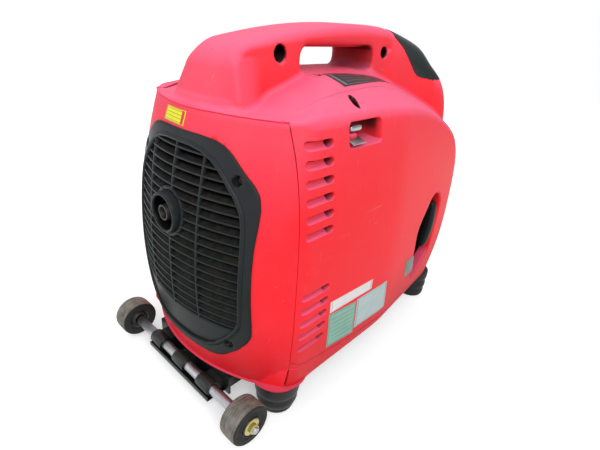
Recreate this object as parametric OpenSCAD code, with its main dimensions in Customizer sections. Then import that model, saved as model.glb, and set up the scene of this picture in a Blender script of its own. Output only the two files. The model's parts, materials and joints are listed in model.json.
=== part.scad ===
// Portable inverter generator: a suitcase-style housing with a carrying handle,
// an enclosed engine with a front alternator, and a two-wheel kit at the exhaust end.
// X runs from the exhaust end (-X) to the control panel (+X), the recoil starter is on -Y,
// and Z = 0 is the floor under the rubber feet.

/* [Housing] */
// Length from the rear face to the front face
housing_l = 500; // [480:1:520]
// Width across the side walls at their widest
housing_w = 298; // [290:1:306]
// Wall thickness of the moulded covers
wall_t = 3; // [2.5:0.25:3.5]
// Gap between neighbouring covers
seam_gap = 0.5; // [0.3:0.1:0.8]
// Height of the lower edge of the covers
cover_bottom_z = 54; // [53.5:0.5:57]
// Height of the widest line of the side walls
waist_z = 177; // [165:1:190]
// Radius of a side wall seen from the end
flank_r = 1050; // [950:10:1200]
// Where the side walls start to draw in towards the front
taper_x = -9; // [-30:1:20]
// Angle by which each side wall draws in
taper_angle = 6.8; // [5.5:0.1:7.5]
// Radius of the rear and front faces in plan
end_plan_r = 242; // [230:1:260]
// Radius of the rear face seen from the side
rear_profile_r = 600; // [540:5:700]
// Height of the rearmost line of the rear face
rear_bulge_z = 173; // [160:1:185]
// Radius of the nose between the front face and the roof
nose_r = 152; // [146:1:158]
// Height of the foremost line of the front face
nose_z = 215; // [205:1:225]
// Radius of the front face below the nose
front_profile_r = 450; // [400:5:550]
// Radius of the roof seen from the end
roof_r = 250; // [240:1:262]
// Height of the centre of that radius
roof_centre_z = 150; // [146:1:154]
// Radius along which the roof falls to the front
roof_fall_r = 505; // [500:1:530]
// Where the roof starts to fall
roof_fall_x = -65; // [-80:1:-50]
// Height of the flat deck behind the handle
deck_z = 362; // [358:1:366]
// Where the deck ends and steps up to the shoulders
deck_end_x = -163; // [-170:1:-156]

/* [Handle and head] */
// Width of the handle
handle_w = 76; // [70:1:82]
// Height of the top of the handle, which is the height of the generator
handle_top_z = 446; // [440:1:450]
// Radius along which the handle's top is crowned
handle_crown_r = 900; // [800:10:1000]
// Where the handle's top is highest
handle_crown_x = 25; // [10:1:40]
// Edge radius of the handle
handle_edge_r = 16; // [12:0.5:18]
// Radius of the handle's rear end seen from the side
handle_rear_r = 68; // [62:1:72]
// Where that radius is centred along the housing
handle_rear_x = -139; // [-144:1:-134]
// Radius of the handle's rear end in plan
handle_rear_plan_r = 60; // [50:1:70]
// Rear end of the hand opening
hand_x0 = -88; // [-95:1:-80]
// Length of the hand opening
hand_l = 134; // [124:1:140]
// Floor of the hand opening
hand_floor_z = 393; // [390:0.5:396]
// Clear height of the hand opening
hand_h = 26; // [24:0.5:27]
// Corner radius of the hand opening
hand_r = 10; // [6:0.5:12]
// Radius of the head in front of the handle
head_r = 127; // [122:1:130]
// Where the head is centred along the housing
head_x = 117; // [112:1:120]
// Height of the centre of the head
head_z = 300; // [296:1:302]
// Width of the head
head_w = 172; // [160:1:180]
// Radius of the coves that lead from the handle to the head
cove_r = 75; // [65:1:85]
// Height of the lower edge of the black hood
hood_bottom_z = 377; // [370:1:384]

/* [Side details] */
// Number of louvre slots in the upper group
upper_slots = 6; // [3:1:6]
// Number of louvre slots in the lower group
lower_slots = 5; // [3:1:5]
// Length of a louvre slot
slot_l = 36; // [28:1:40]
// Height of a louvre slot
slot_h = 8.5; // [6:0.5:10]
// Pitch of the louvre slots
slot_pitch = 17.6; // [14:0.2:18]
// Length of the lever window
window_l = 55; // [48:1:60]
// Height of the lever window
window_h = 25; // [22:1:27]
// Depth of the lever window
window_depth = 22; // [18:1:26]
// Depth of the recoil pocket's floor behind the middle plane
pocket_floor_y = 100; // [96:1:106]

/* [Rear grille] */
// Width of the grille frame
grille_w = 222; // [210:1:226]
// Height of the grille frame
grille_h = 261.5; // [250:0.5:264]
// How far the frame stands proud of the rear cover
grille_proud = 4; // [3:0.25:5]
// Number of slats
slats = 19; // [12:1:21]
// Height of the exhaust outlet
exhaust_z = 248; // [240:1:256]
// Sideways place of the exhaust outlet
exhaust_y = 7; // [0:1:10]
// Outer diameter of the exhaust outlet ring
exhaust_ring_d = 48; // [44:1:52]

/* [Control panel] */
// Width of the control panel opening
panel_w = 160; // [150:1:164]
// Height of the control panel opening
panel_h = 170; // [160:1:172]
// Height of the lower edge of the opening
panel_z = 105; // [102:1:110]
// How far the panel plate lies behind the front face
panel_inset = 32; // [31:1:36]

/* [Engine] */
// Height of the crankshaft
crank_z = 120; // [118:0.5:122]
// Radius of the crankshaft journals
crank_r = 8.5; // [7:0.5:10]
// Radius of the alternator rotor
rotor_r = 58; // [54:1:60]
// Radius of the rope groove in the recoil pulley
pulley_r = 40; // [36:1:44]
// Height of the fuel tank
tank_h = 62; // [50:1:64]

/* [Feet and wheels] */
// Radius of the rubber feet
foot_r = 25.5; // [22:0.5:27]
// Height of the rear rubber feet
rear_foot_h = 28; // [24:1:32]
// Height of the underside of the base pan
pan_z = 50; // [49:0.5:51.5]
// Thickness of the base pan
pan_t = 3; // [2:0.5:3]
// Distance of the rear feet from the middle plane
rear_foot_y = 110; // [104:1:112]
// Distance of the front feet from the middle plane
front_foot_y = 97.5; // [90:0.5:100]
// Distance of the feet from the ends of the housing
foot_inset = 70; // [66:1:78]
// Radius of the wheels
wheel_r = 25.6; // [22:0.2:27]
// Width of the wheels
wheel_w = 27; // [22:0.5:30]
// Height of the axle
axle_z = 35.3; // [34:0.1:38]
// How far the axle lies in front of the rear face
axle_inset = 3; // [0:0.5:6]
// Diameter of the axle tube
axle_d = 13; // [12:0.5:16]
// Length of the axle tube
axle_l = 223.2; // [210:0.2:226]

/* [Hidden] */
$fn = 72;

red = [0.86, 0.16, 0.19];
black = [0.11, 0.14, 0.13];
rubber = [0.2, 0.2, 0.19];
zinc = [0.78, 0.8, 0.82];
alloy = [0.66, 0.67, 0.68];
steel = [0.5, 0.5, 0.5];
copper = [0.72, 0.42, 0.25];

room = 420;
fine_fn = 240;
run_gap = 0.1;
body_gap = 0.4;
screw_r = 2;
screw_head_r = 4.5;

rear_x = -housing_l / 2;
front_x = housing_l / 2;
foot_x = front_x - foot_inset;
axle_x = rear_x + axle_inset;
wheel_inner_y = axle_l / 2 + body_gap;
frame_shift = -(axle_x - wheel_r + head_x + head_r) / 2;
roof_top_z = roof_centre_z + roof_r;

handle_half = handle_w / 2;
head_half = head_w / 2;
seam_half = head_half;
seam_rear_half = housing_w / 2 - 27;
seam_rear_x = rear_x + 53;
seam_mid_x = rear_x + 208;
seam_front_x = front_x - 45;
head_floor_z = nose_z + 70;
panel_x = front_x - panel_inset;
hand_x1 = hand_x0 + hand_l;
pan_top_z = pan_z + pan_t;

slot_x0 = rear_x + 66;
upper_slot_z = 342;
lower_slot_z = 183;
window_x0 = -118;
window_z = 332;
window_floor_y = housing_w / 2 - 12 - window_depth;
lever_x = window_x0 + 13;
lever_z = window_z + 16;

grille_half = grille_w / 2;
grille_z0 = 76.5;
grille_z1 = grille_z0 + grille_h;
field_half = grille_half - 17;
field_z0 = grille_z0 + 20.5;
field_z1 = grille_z1 - 12;
band_z = grille_z0 + 50.5;

rope_x = front_x - 107;
engine_x0 = rope_x - 223;
engine_x1 = engine_x0 + 100;
engine_half = 58;
engine_z0 = pan_top_z + 19;
engine_z1 = crank_z + 55;
flange_t = 4;
shroud_r = rotor_r + 6;
rotor_x0 = engine_x1 + flange_t + 6;
rotor_l = 44;
fan_x0 = rotor_x0 + rotor_l;
fan_l = 20;
shroud_x1 = fan_x0 + fan_l + 8;
recoil_x1 = rope_x + 15;
pulley_l = 12;
rope_z = crank_z + pulley_r;
rope_r = 2;
grip_y = 124;
grip_t = 12;
grip_l = 82;
grip_w = 22;
cylinder_z1 = engine_z1 + 50;
head_top_z = cylinder_z1 + 30;
tank_z0 = 284;
tank_z1 = tank_z0 + tank_h;
tank_half = 92;
tank_x0 = engine_x0 - 32;
tank_x1 = rope_x - 38;
cap_x = tank_x0 + 50;
cap_y = 66;
neck_r = 17;
neck_top_z = 399;
cap_r = 24;
cap_h = 19;

service_x0 = engine_x0 + 20;
service_l = 118;
service_z0 = 112;
service_h = 142;
service_seat_y = housing_w / 2 - 3.9;

// ---- Placing helpers -------------------------------------------------------

// Moves the housing's frame so that the origin is under the middle of the whole generator.
module in_frame() {
    translate([frame_shift, 0, 0])
    children();
}

// Extrudes an outline drawn in X and Z across the width, from y0 to y1.
module across(y0, y1) {
    translate([0, y1, 0])
    rotate([90, 0, 0])
    linear_extrude(y1 - y0)
    children();
}

// Extrudes an outline drawn in Y and Z along the length, from x0 to x1.
module along(x0, x1) {
    translate([x0, 0, 0])
    rotate([90, 0, 90])
    linear_extrude(x1 - x0)
    children();
}

// A cylinder along X from x0 to x1, centred at y and z.
module rod_x(x0, x1, y, z, r) {
    translate([x0, y, z])
    rotate([0, 90, 0])
    cylinder(r = r, h = x1 - x0);
}

// A cylinder along Y from y0 to y1, centred at x and z.
module rod_y(y0, y1, x, z, r) {
    translate([x, y1, z])
    rotate([90, 0, 0])
    cylinder(r = r, h = y1 - y0);
}

// A block between two opposite corners.
module block(low, high) {
    translate(low)
    cube(high - low);
}

// A flat rectangle between two corners, with round corners.
module rounded_rect(low, high, r) {
    translate([low[0] + r, low[1]])
    square([high[0] - low[0] - 2 * r, high[1] - low[1]]);
    translate([low[0], low[1] + r])
    square([high[0] - low[0], high[1] - low[1] - 2 * r]);
    for (u = [low[0] + r, high[0] - r], v = [low[1] + r, high[1] - r])
        translate([u, v])
        circle(r = r);
}

// ---- Outer forms -----------------------------------------------------------
// Each form takes an inset, so that the same surfaces bound the outside of a cover,
// its inside and everything that follows it.

module rear_form(inset) {
    translate([rear_x + end_plan_r, 0, 0]) {
        rotate_extrude($fn = fine_fn)
        intersection() {
            translate([end_plan_r - rear_profile_r, rear_bulge_z])
            circle(r = rear_profile_r - inset, $fn = fine_fn);
            square([end_plan_r + grille_proud, room + 80]);
        }
        block([0, -room / 2, 0], [room * 1.5, room / 2, room + 80]);
    }
}

module front_form(inset) {
    core_r = end_plan_r - nose_r;
    translate([front_x - end_plan_r, 0, 0]) {
        rotate_extrude($fn = fine_fn) {
            intersection() {
                translate([core_r, nose_z])
                circle(r = nose_r - inset, $fn = fine_fn);
                translate([0, nose_z])
                square([end_plan_r, nose_r]);
            }
            intersection() {
                translate([end_plan_r - front_profile_r, nose_z])
                circle(r = front_profile_r - inset, $fn = fine_fn);
                square([end_plan_r, nose_z]);
            }
            translate([0, nose_z])
            square([core_r, nose_r - inset]);
        }
        block([-room * 1.5, -room / 2, 0], [core_r, room / 2, room + 80]);
    }
}

module flank_form(side, angle, inset) {
    translate([taper_x, side * housing_w / 2, waist_z])
    rotate([0, 0, angle])
    translate([0, -side * flank_r, 0])
    rod_x(-room, room, 0, 0, flank_r - inset, $fn = fine_fn);
}

module roof_form(inset) {
    translate([roof_fall_x, 0, roof_top_z - roof_fall_r])
    intersection() {
        rotate([90, 0, 0])
        rotate_extrude($fn = fine_fn)
        translate([roof_fall_r - roof_r, 0])
        circle(r = roof_r - inset, $fn = fine_fn);
        block([0, -room, 0], [room, room, 2 * room]);
    }
    rod_x(-room, roof_fall_x, 0, roof_centre_z, roof_r - inset, $fn = fine_fn);
}

// The air above the flat deck, up to the line where the shoulders begin.
module above_deck(inset) {
    step = 17;
    across(-room / 2, room / 2)
    translate([0, -inset])
    polygon([
        [-room, deck_z],
        [deck_end_x, deck_z],
        [deck_end_x + step, deck_z + 12],
        [roof_fall_x, roof_top_z],
        [roof_fall_x, room + 80],
        [-room, room + 80]
    ]);
}

// Plan outline that takes the point off the four upright corners.
module corner_form(inset) {
    half = housing_w / 2 + 0.5 - inset;
    linear_extrude(room + 80)
    polygon([
        [rear_x - 12, -half + 45],
        [rear_x + 59, -half],
        [front_x - 76, -half],
        [front_x + 12, -half + 62],
        [front_x + 12, half - 62],
        [front_x - 76, half],
        [rear_x + 59, half],
        [rear_x - 12, half - 45]
    ]);
}

module housing_form(inset) {
    difference() {
        intersection() {
            rear_form(inset);
            front_form(inset);
            flank_form(-1, 0, inset);
            flank_form(1, 0, inset);
            flank_form(-1, taper_angle, inset);
            flank_form(1, -taper_angle, inset);
            roof_form(inset);
            corner_form(inset);
        }
        above_deck(inset);
    }
}

// Outline of the hand opening, grown by the inset.
module hand_outline(inset) {
    rounded_rect(
        [hand_x0 - inset, hand_floor_z - inset],
        [hand_x1 + inset, hand_floor_z + hand_h + inset],
        hand_r + inset
    );
}

module handle_form(inset) {
    half = handle_half - inset;
    crown_r = handle_crown_r - inset;
    intersection() {
        translate([handle_crown_x, 0, handle_top_z - handle_crown_r])
        rotate([90, 0, 0])
        rotate_extrude($fn = fine_fn)
        rounded_rect([crown_r - 200, -half], [crown_r, half], handle_edge_r - inset);
        across(-handle_half, handle_half)
        handle_outline(inset);
        handle_plan(inset);
    }
}

// Side view of the handle: a round rear end, and a slope that runs down into the head.
module handle_outline(inset) {
    base_z = deck_z - 20;
    rear_z = deck_z + 4;
    rear_r = handle_rear_r - inset;
    fall_x = head_x - 21;
    end_x = head_x + 60;
    top_z = handle_top_z - 3 - inset;
    translate([handle_rear_x, rear_z])
    circle(r = rear_r, $fn = fine_fn);
    translate([handle_rear_x - rear_r, base_z])
    square([rear_r, rear_z - base_z]);
    polygon([
        [handle_rear_x, base_z],
        [end_x, base_z],
        [end_x, top_z - 35],
        [fall_x, top_z],
        [fall_x, handle_top_z + 10],
        [handle_rear_x, handle_top_z + 10]
    ]);
}

module handle_plan(inset) {
    plan_r = handle_rear_plan_r - inset;
    plan_x = handle_rear_x - handle_rear_r + handle_rear_plan_r;
    translate([plan_x, 0, 0])
    cylinder(r = plan_r, h = room + 80, $fn = fine_fn);
    block([plan_x, -handle_half, 0], [front_x, handle_half, room + 80]);
}

module head_form(inset) {
    cove_x = head_x - 7;
    half = head_half - inset;
    difference() {
        intersection() {
            translate([head_x, 0, head_z])
            sphere(r = head_r - inset, $fn = fine_fn);
            block([cove_x, -half, nose_z + 20], [front_x, half, room + 80]);
        }
        for (side = [-1, 1])
            translate([cove_x, side * (handle_half + cove_r), 0])
            cylinder(r = cove_r + inset, h = room + 80);
    }
}

// The whole outside: housing, handle and head, open at the hand opening.
module body_form(inset) {
    difference() {
        union() {
            housing_form(inset);
            handle_form(inset);
            head_form(inset);
        }
        across(-head_half, head_half)
        hand_outline(inset);
    }
}

module body_shell() {
    difference() {
        body_form(0);
        body_form(wall_t);
        block([-room, -room, -1], [room, room, cover_bottom_z]);
    }
}

module housing_shell() {
    difference() {
        housing_form(0);
        housing_form(wall_t);
        block([-room, -room, -1], [room, room, cover_bottom_z]);
    }
}

// Plan outline between the two side covers: the deck, the shoulders, the handle and the head.
module top_plan(grow) {
    polygon([
        [seam_rear_x, -seam_rear_half - grow],
        [seam_mid_x, -seam_half - grow],
        [front_x + 20, -seam_half - grow],
        [front_x + 20, seam_half + grow],
        [seam_mid_x, seam_half + grow],
        [seam_rear_x, seam_rear_half + grow]
    ]);
}

// ---- Covers ----------------------------------------------------------------

module stadium(length, height) {
    r = height / 2;
    translate([r, -r])
    square([length - height, height]);
    for (x = [r, length - r])
        translate([x, 0])
        circle(r = r);
}

module slot_outlines() {
    for (i = [0 : upper_slots - 1])
        translate([slot_x0, upper_slot_z - i * slot_pitch])
        stadium(slot_l, slot_h);
    for (i = [0 : lower_slots - 1])
        translate([slot_x0, lower_slot_z - i * slot_pitch])
        stadium(slot_l, slot_h);
}

module window_outline(grow) {
    rounded_rect(
        [window_x0 - grow, window_z - grow],
        [window_x0 + window_l + grow, window_z + window_h + grow],
        5 + grow
    );
}

// Teardrop outline of the recoil pocket: a wide top around the grip, and a tail at the foot.
module pocket_outline(grow) {
    hull()
    for (spot = [[-11, 36, 33], [-31, 5, 35], [-5, -40, 20], [-43, -70, 13]])
        translate([rope_x + spot[0], rope_z + spot[1]])
        circle(r = spot[2] + grow, $fn = 48);
}

// Walls and floor of a recess that goes in from a side wall to the plane floor_y.
module near_recess(floor_y) {
    intersection() {
        housing_form(0);
        across(-room / 2, -floor_y)
        children();
    }
}

// Space of the two top halves: the deck, and everything inside the shoulder seams above it.
module top_region(grow) {
    deck_low_z = deck_z - wall_t - grow;
    high_z = room + 80;
    fall_x = head_x - 67;
    block([-room, -room / 2, deck_low_z], [seam_rear_x + grow, room / 2, high_z]);
    intersection() {
        linear_extrude(high_z)
        top_plan(grow);
        union() {
            block([-room, -room / 2, deck_low_z], [fall_x, room / 2, high_z]);
            block([fall_x - 1, -room / 2, deck_z - 110], [seam_front_x + 1, room / 2, high_z]);
            block([seam_front_x, -room / 2, head_floor_z - grow], [room, room / 2, high_z]);
        }
    }
}

module side_region() {
    difference() {
        block([seam_rear_x + seam_gap, -room / 2, 0], [room, 0, room + 80]);
        top_region(seam_gap);
        block([seam_front_x, -room / 2, 0], [room, room / 2, head_floor_z]);
    }
}

module side_screw_place() {
    screw_x = -76;
    screw_inset = 44;
    translate([screw_x, -housing_w / 2 + screw_inset, deck_z + 6])
    children();
}

module side_cover_blank() {
    difference() {
        intersection() {
            union() {
                housing_shell();
                intersection() {
                    housing_form(0);
                    side_screw_place()
                    translate([0, 0, -12])
                    cylinder(r = 9, h = 60);
                }
            }
            side_region();
        }
        across(-room / 2, 0)
        slot_outlines();
        side_screw_place() {
            cylinder(r = screw_head_r + 2, h = 60);
            translate([0, 0, -20])
            cylinder(r = screw_r + run_gap, h = 60);
        }
    }
}

module near_side_cover() {
    color(red)
    difference() {
        union() {
            side_cover_blank();
            near_recess(window_floor_y - wall_t)
            window_outline(wall_t - 0.5);
        }
        across(-room / 2, -window_floor_y)
        window_outline(0);
        across(-room / 2, -pocket_floor_y)
        pocket_outline(seam_gap);
    }
}

module service_outline(grow) {
    rounded_rect(
        [service_x0 - grow, service_z0 - grow],
        [service_x0 + service_l + grow, service_z0 + service_h + grow],
        10 + grow
    );
}

module far_side_cover() {
    color(red)
    difference() {
        mirror([0, 1, 0])
        side_cover_blank();
        across(0, room / 2)
        service_outline(body_gap);
    }
}

module service_cover() {
    hole_x = service_x0 + service_l / 2;
    hole_z = service_z0 + service_h - 12;
    color(red)
    difference() {
        intersection() {
            housing_shell();
            across(0, room / 2)
            service_outline(0);
        }
        rod_y(0, room / 2, hole_x, hole_z, screw_r + run_gap);
        rod_y(service_seat_y, room / 2, hole_x, hole_z, screw_head_r + run_gap);
    }
}

module service_cover_screw() {
    hole_x = service_x0 + service_l / 2;
    hole_z = service_z0 + service_h - 12;
    color(steel) {
        rod_y(service_seat_y, service_seat_y + 1.4, hole_x, hole_z, screw_head_r);
        rod_y(service_seat_y - 12, service_seat_y, hole_x, hole_z, screw_r);
    }
}

module rear_cover() {
    color(red)
    difference() {
        intersection() {
            housing_shell();
            block([-room, -room / 2, 0], [seam_rear_x, room / 2, deck_z - wall_t - seam_gap]);
        }
        along(-room, rear_x + 60)
        field_outline(seam_gap);
        for (p = grille_screw_places())
            rod_x(-room, rear_x + 60, p[0], p[1], screw_r + run_gap);
    }
}

// The deck, one shoulder, half of the handle and half of the head, on the recoil side.
module top_half_blank() {
    difference() {
        intersection() {
            body_shell();
            top_region(0);
        }
        block([-room, -run_gap, 0], [room, room, room + 80]);
        hood_region(seam_gap);
    }
}

module handle_screw_places() {
    for (x = [hand_x0 - 35, hand_x1 + 28])
        translate([x, 0, hand_floor_z + 20.5])
        children();
}

module near_top_half() {
    color(red)
    difference() {
        union() {
            top_half_blank();
            handle_screw_places()
            rod_y(-handle_half + 2, -run_gap, 0, 0, 9);
        }
        handle_screw_places() {
            rod_y(-handle_half - 5, -handle_half + 16, 0, 0, 6.5);
            rod_y(-handle_half, 0, 0, 0, screw_r + run_gap);
        }
    }
}

module far_top_half() {
    color(red)
    difference() {
        union() {
            mirror([0, 1, 0])
            top_half_blank();
            handle_screw_places()
            rod_y(run_gap, handle_half - 1, 0, 0, 7);
        }
        handle_screw_places()
        rod_y(0, 14, 0, 0, screw_r + run_gap);
        translate([cap_x, cap_y, deck_z])
        cylinder(r = neck_r + 2, h = 60);
    }
}

// Side view of the hood's edge, from the top of the handle down around the head.
module hood_region(grow) {
    across(-room / 2, room / 2)
    offset(delta = grow)
    polygon([
        [head_x - 22, room + 60],
        [head_x - 22, handle_top_z - 14],
        [head_x - 3, handle_top_z - 26],
        [head_x + 14, handle_top_z - 45],
        [head_x + 30, hood_bottom_z + 8],
        [head_x + 48, hood_bottom_z],
        [room, hood_bottom_z],
        [room, room + 60]
    ]);
}

module panel_hood() {
    color(black)
    intersection() {
        difference() {
            union() {
                handle_form(-1);
                head_form(-1);
            }
            union() {
                handle_form(wall_t);
                head_form(wall_t);
            }
        }
        hood_region(0);
    }
}

module panel_opening(grow) {
    rounded_rect(
        [-panel_w / 2 - grow, panel_z - grow],
        [panel_w / 2 + grow, panel_z + panel_h + grow],
        12 + grow
    );
}

module front_cover() {
    vent_z = 68;
    color(red)
    difference() {
        union() {
            intersection() {
                housing_shell();
                block([seam_front_x + seam_gap, -room / 2, 0], [room, room / 2, head_floor_z - seam_gap]);
            }
            intersection() {
                housing_form(0);
                along(panel_x, room)
                panel_opening(wall_t - 0.5);
            }
        }
        along(panel_x - 30, room)
        panel_opening(0);
        for (i = [-4 : 4])
            along(panel_x - 30, room)
            translate([i * 16 - 4, vent_z])
            square([8, 24]);
    }
}

module base_pan() {
    inset = wall_t + body_gap;
    rim = 2;
    color(black)
    difference() {
        intersection() {
            housing_form(inset);
            block([-room, -room, pan_z], [room, room, pan_top_z + 14]);
        }
        intersection() {
            housing_form(inset + rim);
            block([-room, -room, pan_top_z], [room, room, room]);
        }
        for (x = [-60 : 30 : 60])
            translate([x, 0, pan_z - 1])
            cylinder(r = 6, h = pan_t + 2);
    }
}

// ---- Rear grille, exhaust and screws ---------------------------------------

// Frame outline in Y and Z: an upright shape with cut corners.
module grille_outline(half, z0, z1) {
    foot = half - 47;
    brow = half - 55;
    polygon([
        [-foot, z0], [foot, z0],
        [half - 13, z0 + 34], [half - 3, z0 + 54],
        [half, z0 + 204], [half - 7, z0 + 222],
        [half - 37, z1 - 11], [brow, z1],
        [-brow, z1], [-half + 37, z1 - 11],
        [-half + 7, z0 + 222], [-half, z0 + 204],
        [-half + 3, z0 + 54], [-half + 13, z0 + 34]
    ]);
}

module field_outline(grow = 0) {
    side = field_half + grow;
    z0 = field_z0 - grow;
    z1 = field_z1 + grow;
    polygon([
        [-side + 45, z0], [side - 45, z0],
        [side - 12, z0 + 26], [side, z0 + 80],
        [side, z1 - 73], [side - 6, z1 - 46],
        [side - 29, z1 - 22], [side - 49, z1],
        [-side + 49, z1], [-side + 29, z1 - 22],
        [-side + 6, z1 - 46], [-side, z1 - 73],
        [-side, z0 + 80], [-side + 12, z0 + 26]
    ]);
}

function grille_screw_places() = [
    for (side = [-1, 1], p = [[83, grille_z1 - 34], [82, grille_z0 + 33.5]])
        [side * p[0], p[1]]
];

// Where the rear face lies at a place in Y and Z, with the frame's thickness added.
function frame_face_x(y, z) = rear_x + end_plan_r - sqrt(
    pow(end_plan_r - rear_profile_r + sqrt(pow(rear_profile_r + grille_proud, 2)
    - pow(z - rear_bulge_z, 2)), 2) - pow(y, 2)
);

// The heads of the frame's screws lie a little below its face.
function screw_seat_x(p) = frame_face_x(p[0], p[1]) + 1.2;

module screw_cone(p, grow) {
    translate([screw_seat_x(p), p[0], p[1]])
    rotate([0, 90, 0])
    cylinder(r1 = screw_head_r + grow, r2 = screw_r + grow, h = 2.5);
}

module grille_shell(outer, inner) {
    difference() {
        rear_form(outer);
        rear_form(inner);
        block([rear_x + 60, -room, 0], [room * 2, room, room * 2]);
    }
}

module slat_stack() {
    pitch = (field_z1 - band_z) / slats;
    tilt = 35;
    for (i = [0 : slats - 1])
        translate([rear_x + 8, 0, band_z + (i + 0.5) * pitch])
        rotate([0, -tilt, 0])
        cube([50, 2 * field_half, 2.6], center = true);
}

module rear_grille() {
    color(black)
    difference() {
        union() {
            intersection() {
                grille_shell(-grille_proud, -run_gap);
                along(-room, rear_x + 60)
                difference() {
                    grille_outline(grille_half, grille_z0, grille_z1);
                    field_outline();
                }
            }
            intersection() {
                grille_shell(-2, 5);
                along(-room, rear_x + 60)
                field_outline();
                union() {
                    slat_stack();
                    for (y = [-41, exhaust_y, 55])
                        block([-room, y - 2, 0], [rear_x + 60, y + 2, room]);
                    block([-room, -field_half, 0], [rear_x + 60, field_half, band_z]);
                    rod_x(-room, rear_x + 60, exhaust_y, exhaust_z, exhaust_ring_d / 2 + 4);
                }
            }
        }
        rod_x(-room, rear_x + 60, exhaust_y, exhaust_z, exhaust_ring_d / 2);
        for (p = grille_screw_places()) {
            rod_x(-room, rear_x + 60, p[0], p[1], screw_r + run_gap);
            rod_x(-room, screw_seat_x(p), p[0], p[1], screw_head_r + run_gap);
            screw_cone(p, run_gap);
        }
    }
}

module exhaust_outlet() {
    ring_r = exhaust_ring_d / 2;
    tip_x = rear_x - 8;
    color(black)
    difference() {
        rod_x(tip_x, rear_x + 16, exhaust_y, exhaust_z, ring_r - run_gap);
        rod_x(tip_x - 1, rear_x + 17, exhaust_y, exhaust_z, ring_r - 5);
    }
}

module cover_screws() {
    color(steel) {
        for (p = grille_screw_places()) {
            screw_cone(p, 0);
            rod_x(screw_seat_x(p), screw_seat_x(p) + 16, p[0], p[1], screw_r);
        }
        handle_screw_places() {
            rod_y(-handle_half + 12.4, -handle_half + 15.9, 0, 0, screw_head_r);
            rod_y(-handle_half + 15.9, 13, 0, 0, screw_r);
        }
        for (y = [-panel_w / 2 + 7, panel_w / 2 - 7], z = [panel_z + 7, panel_z + panel_h - 7])
            rod_x(panel_x, panel_x + 2, y, z, 3.5);
        for (side = [0, 1])
            mirror([0, side, 0])
            side_screw_place() {
                cylinder(r = screw_head_r, h = 3);
                translate([0, 0, -14])
                cylinder(r = screw_r, h = 14);
            }
    }
}

module muffler() {
    half_w = 75;
    floor_z = exhaust_z - 62;
    top_z = floor_z + 96;
    x0 = rear_x + 38;
    wall = 2;
    pipe_r = 9;
    color(alloy)
    difference() {
        union() {
            along(x0, muffler_x1)
            rounded_rect([-half_w, floor_z], [half_w, top_z], 18);
            rod_x(rear_x - 2, x0 + wall, exhaust_y, exhaust_z, pipe_r);
        }
        along(x0 + wall, muffler_x1 - wall)
        rounded_rect([-half_w + wall, floor_z + wall], [half_w - wall, top_z - wall], 18 - wall);
        rod_x(rear_x - 3, x0 + 12, exhaust_y, exhaust_z, pipe_r - 2);
    }
}

// ---- Control panel ---------------------------------------------------------

socket_places = [[-42, 150], [42, 150]];
dc_place = [0, 158];
switch_place = [-46, 222];
eco_place = [46, 224];
breaker_place = [0, 200];
lamp_places = [[-18, 240], [0, 240], [18, 240]];
earth_place = [0, 122];
socket_r = 20;
socket_body_r = 15;
dc_r = 11;
switch_shaft_r = 4;
eco_r = 11;
eco_axis_x = panel_x - 6;
eco_w = 15;
button_r = 5.5;
lamp_r = 4;
stud_r = 4;
body_depth = 16;

module control_panel() {
    color(black)
    difference() {
        along(panel_x - wall_t, panel_x)
        panel_opening(wall_t - 0.5);
        for (p = socket_places)
            rod_x(panel_x - 5, panel_x + 1, p[0], p[1], socket_body_r + run_gap);
        rod_x(panel_x - 5, panel_x + 1, dc_place[0], dc_place[1], dc_r - 3 + run_gap);
        rod_x(panel_x - 5, panel_x + 1, switch_place[0], switch_place[1], switch_shaft_r + body_gap);
        rod_x(panel_x - 5, panel_x + 1, breaker_place[0], breaker_place[1], button_r + body_gap);
        for (p = lamp_places)
            rod_x(panel_x - 5, panel_x + 1, p[0], p[1], lamp_r + run_gap);
        rod_x(panel_x - 5, panel_x + 1, earth_place[0], earth_place[1], stud_r + run_gap);
        along(panel_x - 5, panel_x + 1)
        translate(eco_place)
        square([eco_w + 4, 2 * eco_r + 5], center = true);
    }
}

module ac_sockets() {
    color([0.12, 0.12, 0.12])
    for (p = socket_places)
        difference() {
            union() {
                rod_x(panel_x, panel_x + 3, p[0], p[1], socket_r);
                rod_x(panel_x - body_depth, panel_x, p[0], p[1], socket_body_r);
            }
            for (side = [-1, 1])
                block(
                    [panel_x - 8, p[0] + side * 6.3 - 1.1, p[1] - 3.5],
                    [panel_x + 4, p[0] + side * 6.3 + 1.1, p[1] + 3.5]
                );
            rod_x(panel_x - 8, panel_x + 4, p[0], p[1] - 9, 2.5);
        }
}

module dc_socket() {
    color([0.12, 0.12, 0.12])
    difference() {
        union() {
            rod_x(panel_x, panel_x + 3, dc_place[0], dc_place[1], dc_r);
            rod_x(panel_x - body_depth, panel_x, dc_place[0], dc_place[1], dc_r - 3);
        }
        block(
            [panel_x - 8, dc_place[0] - 3, dc_place[1] - 3.2],
            [panel_x + 4, dc_place[0] + 3, dc_place[1] - 2]
        );
        block(
            [panel_x - 8, dc_place[0] - 0.6, dc_place[1] - 0.5],
            [panel_x + 4, dc_place[0] + 0.6, dc_place[1] + 5]
        );
    }
}

module engine_switch() {
    knob_x = panel_x + body_gap;
    color([0.15, 0.15, 0.15]) {
        rod_x(knob_x, knob_x + 5, switch_place[0], switch_place[1], 15);
        rod_x(panel_x - 12, knob_x, switch_place[0], switch_place[1], switch_shaft_r);
        block(
            [knob_x + 5, switch_place[0] - 3.5, switch_place[1] - 14],
            [knob_x + 15, switch_place[0] + 3.5, switch_place[1] + 14]
        );
    }
}

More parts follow.
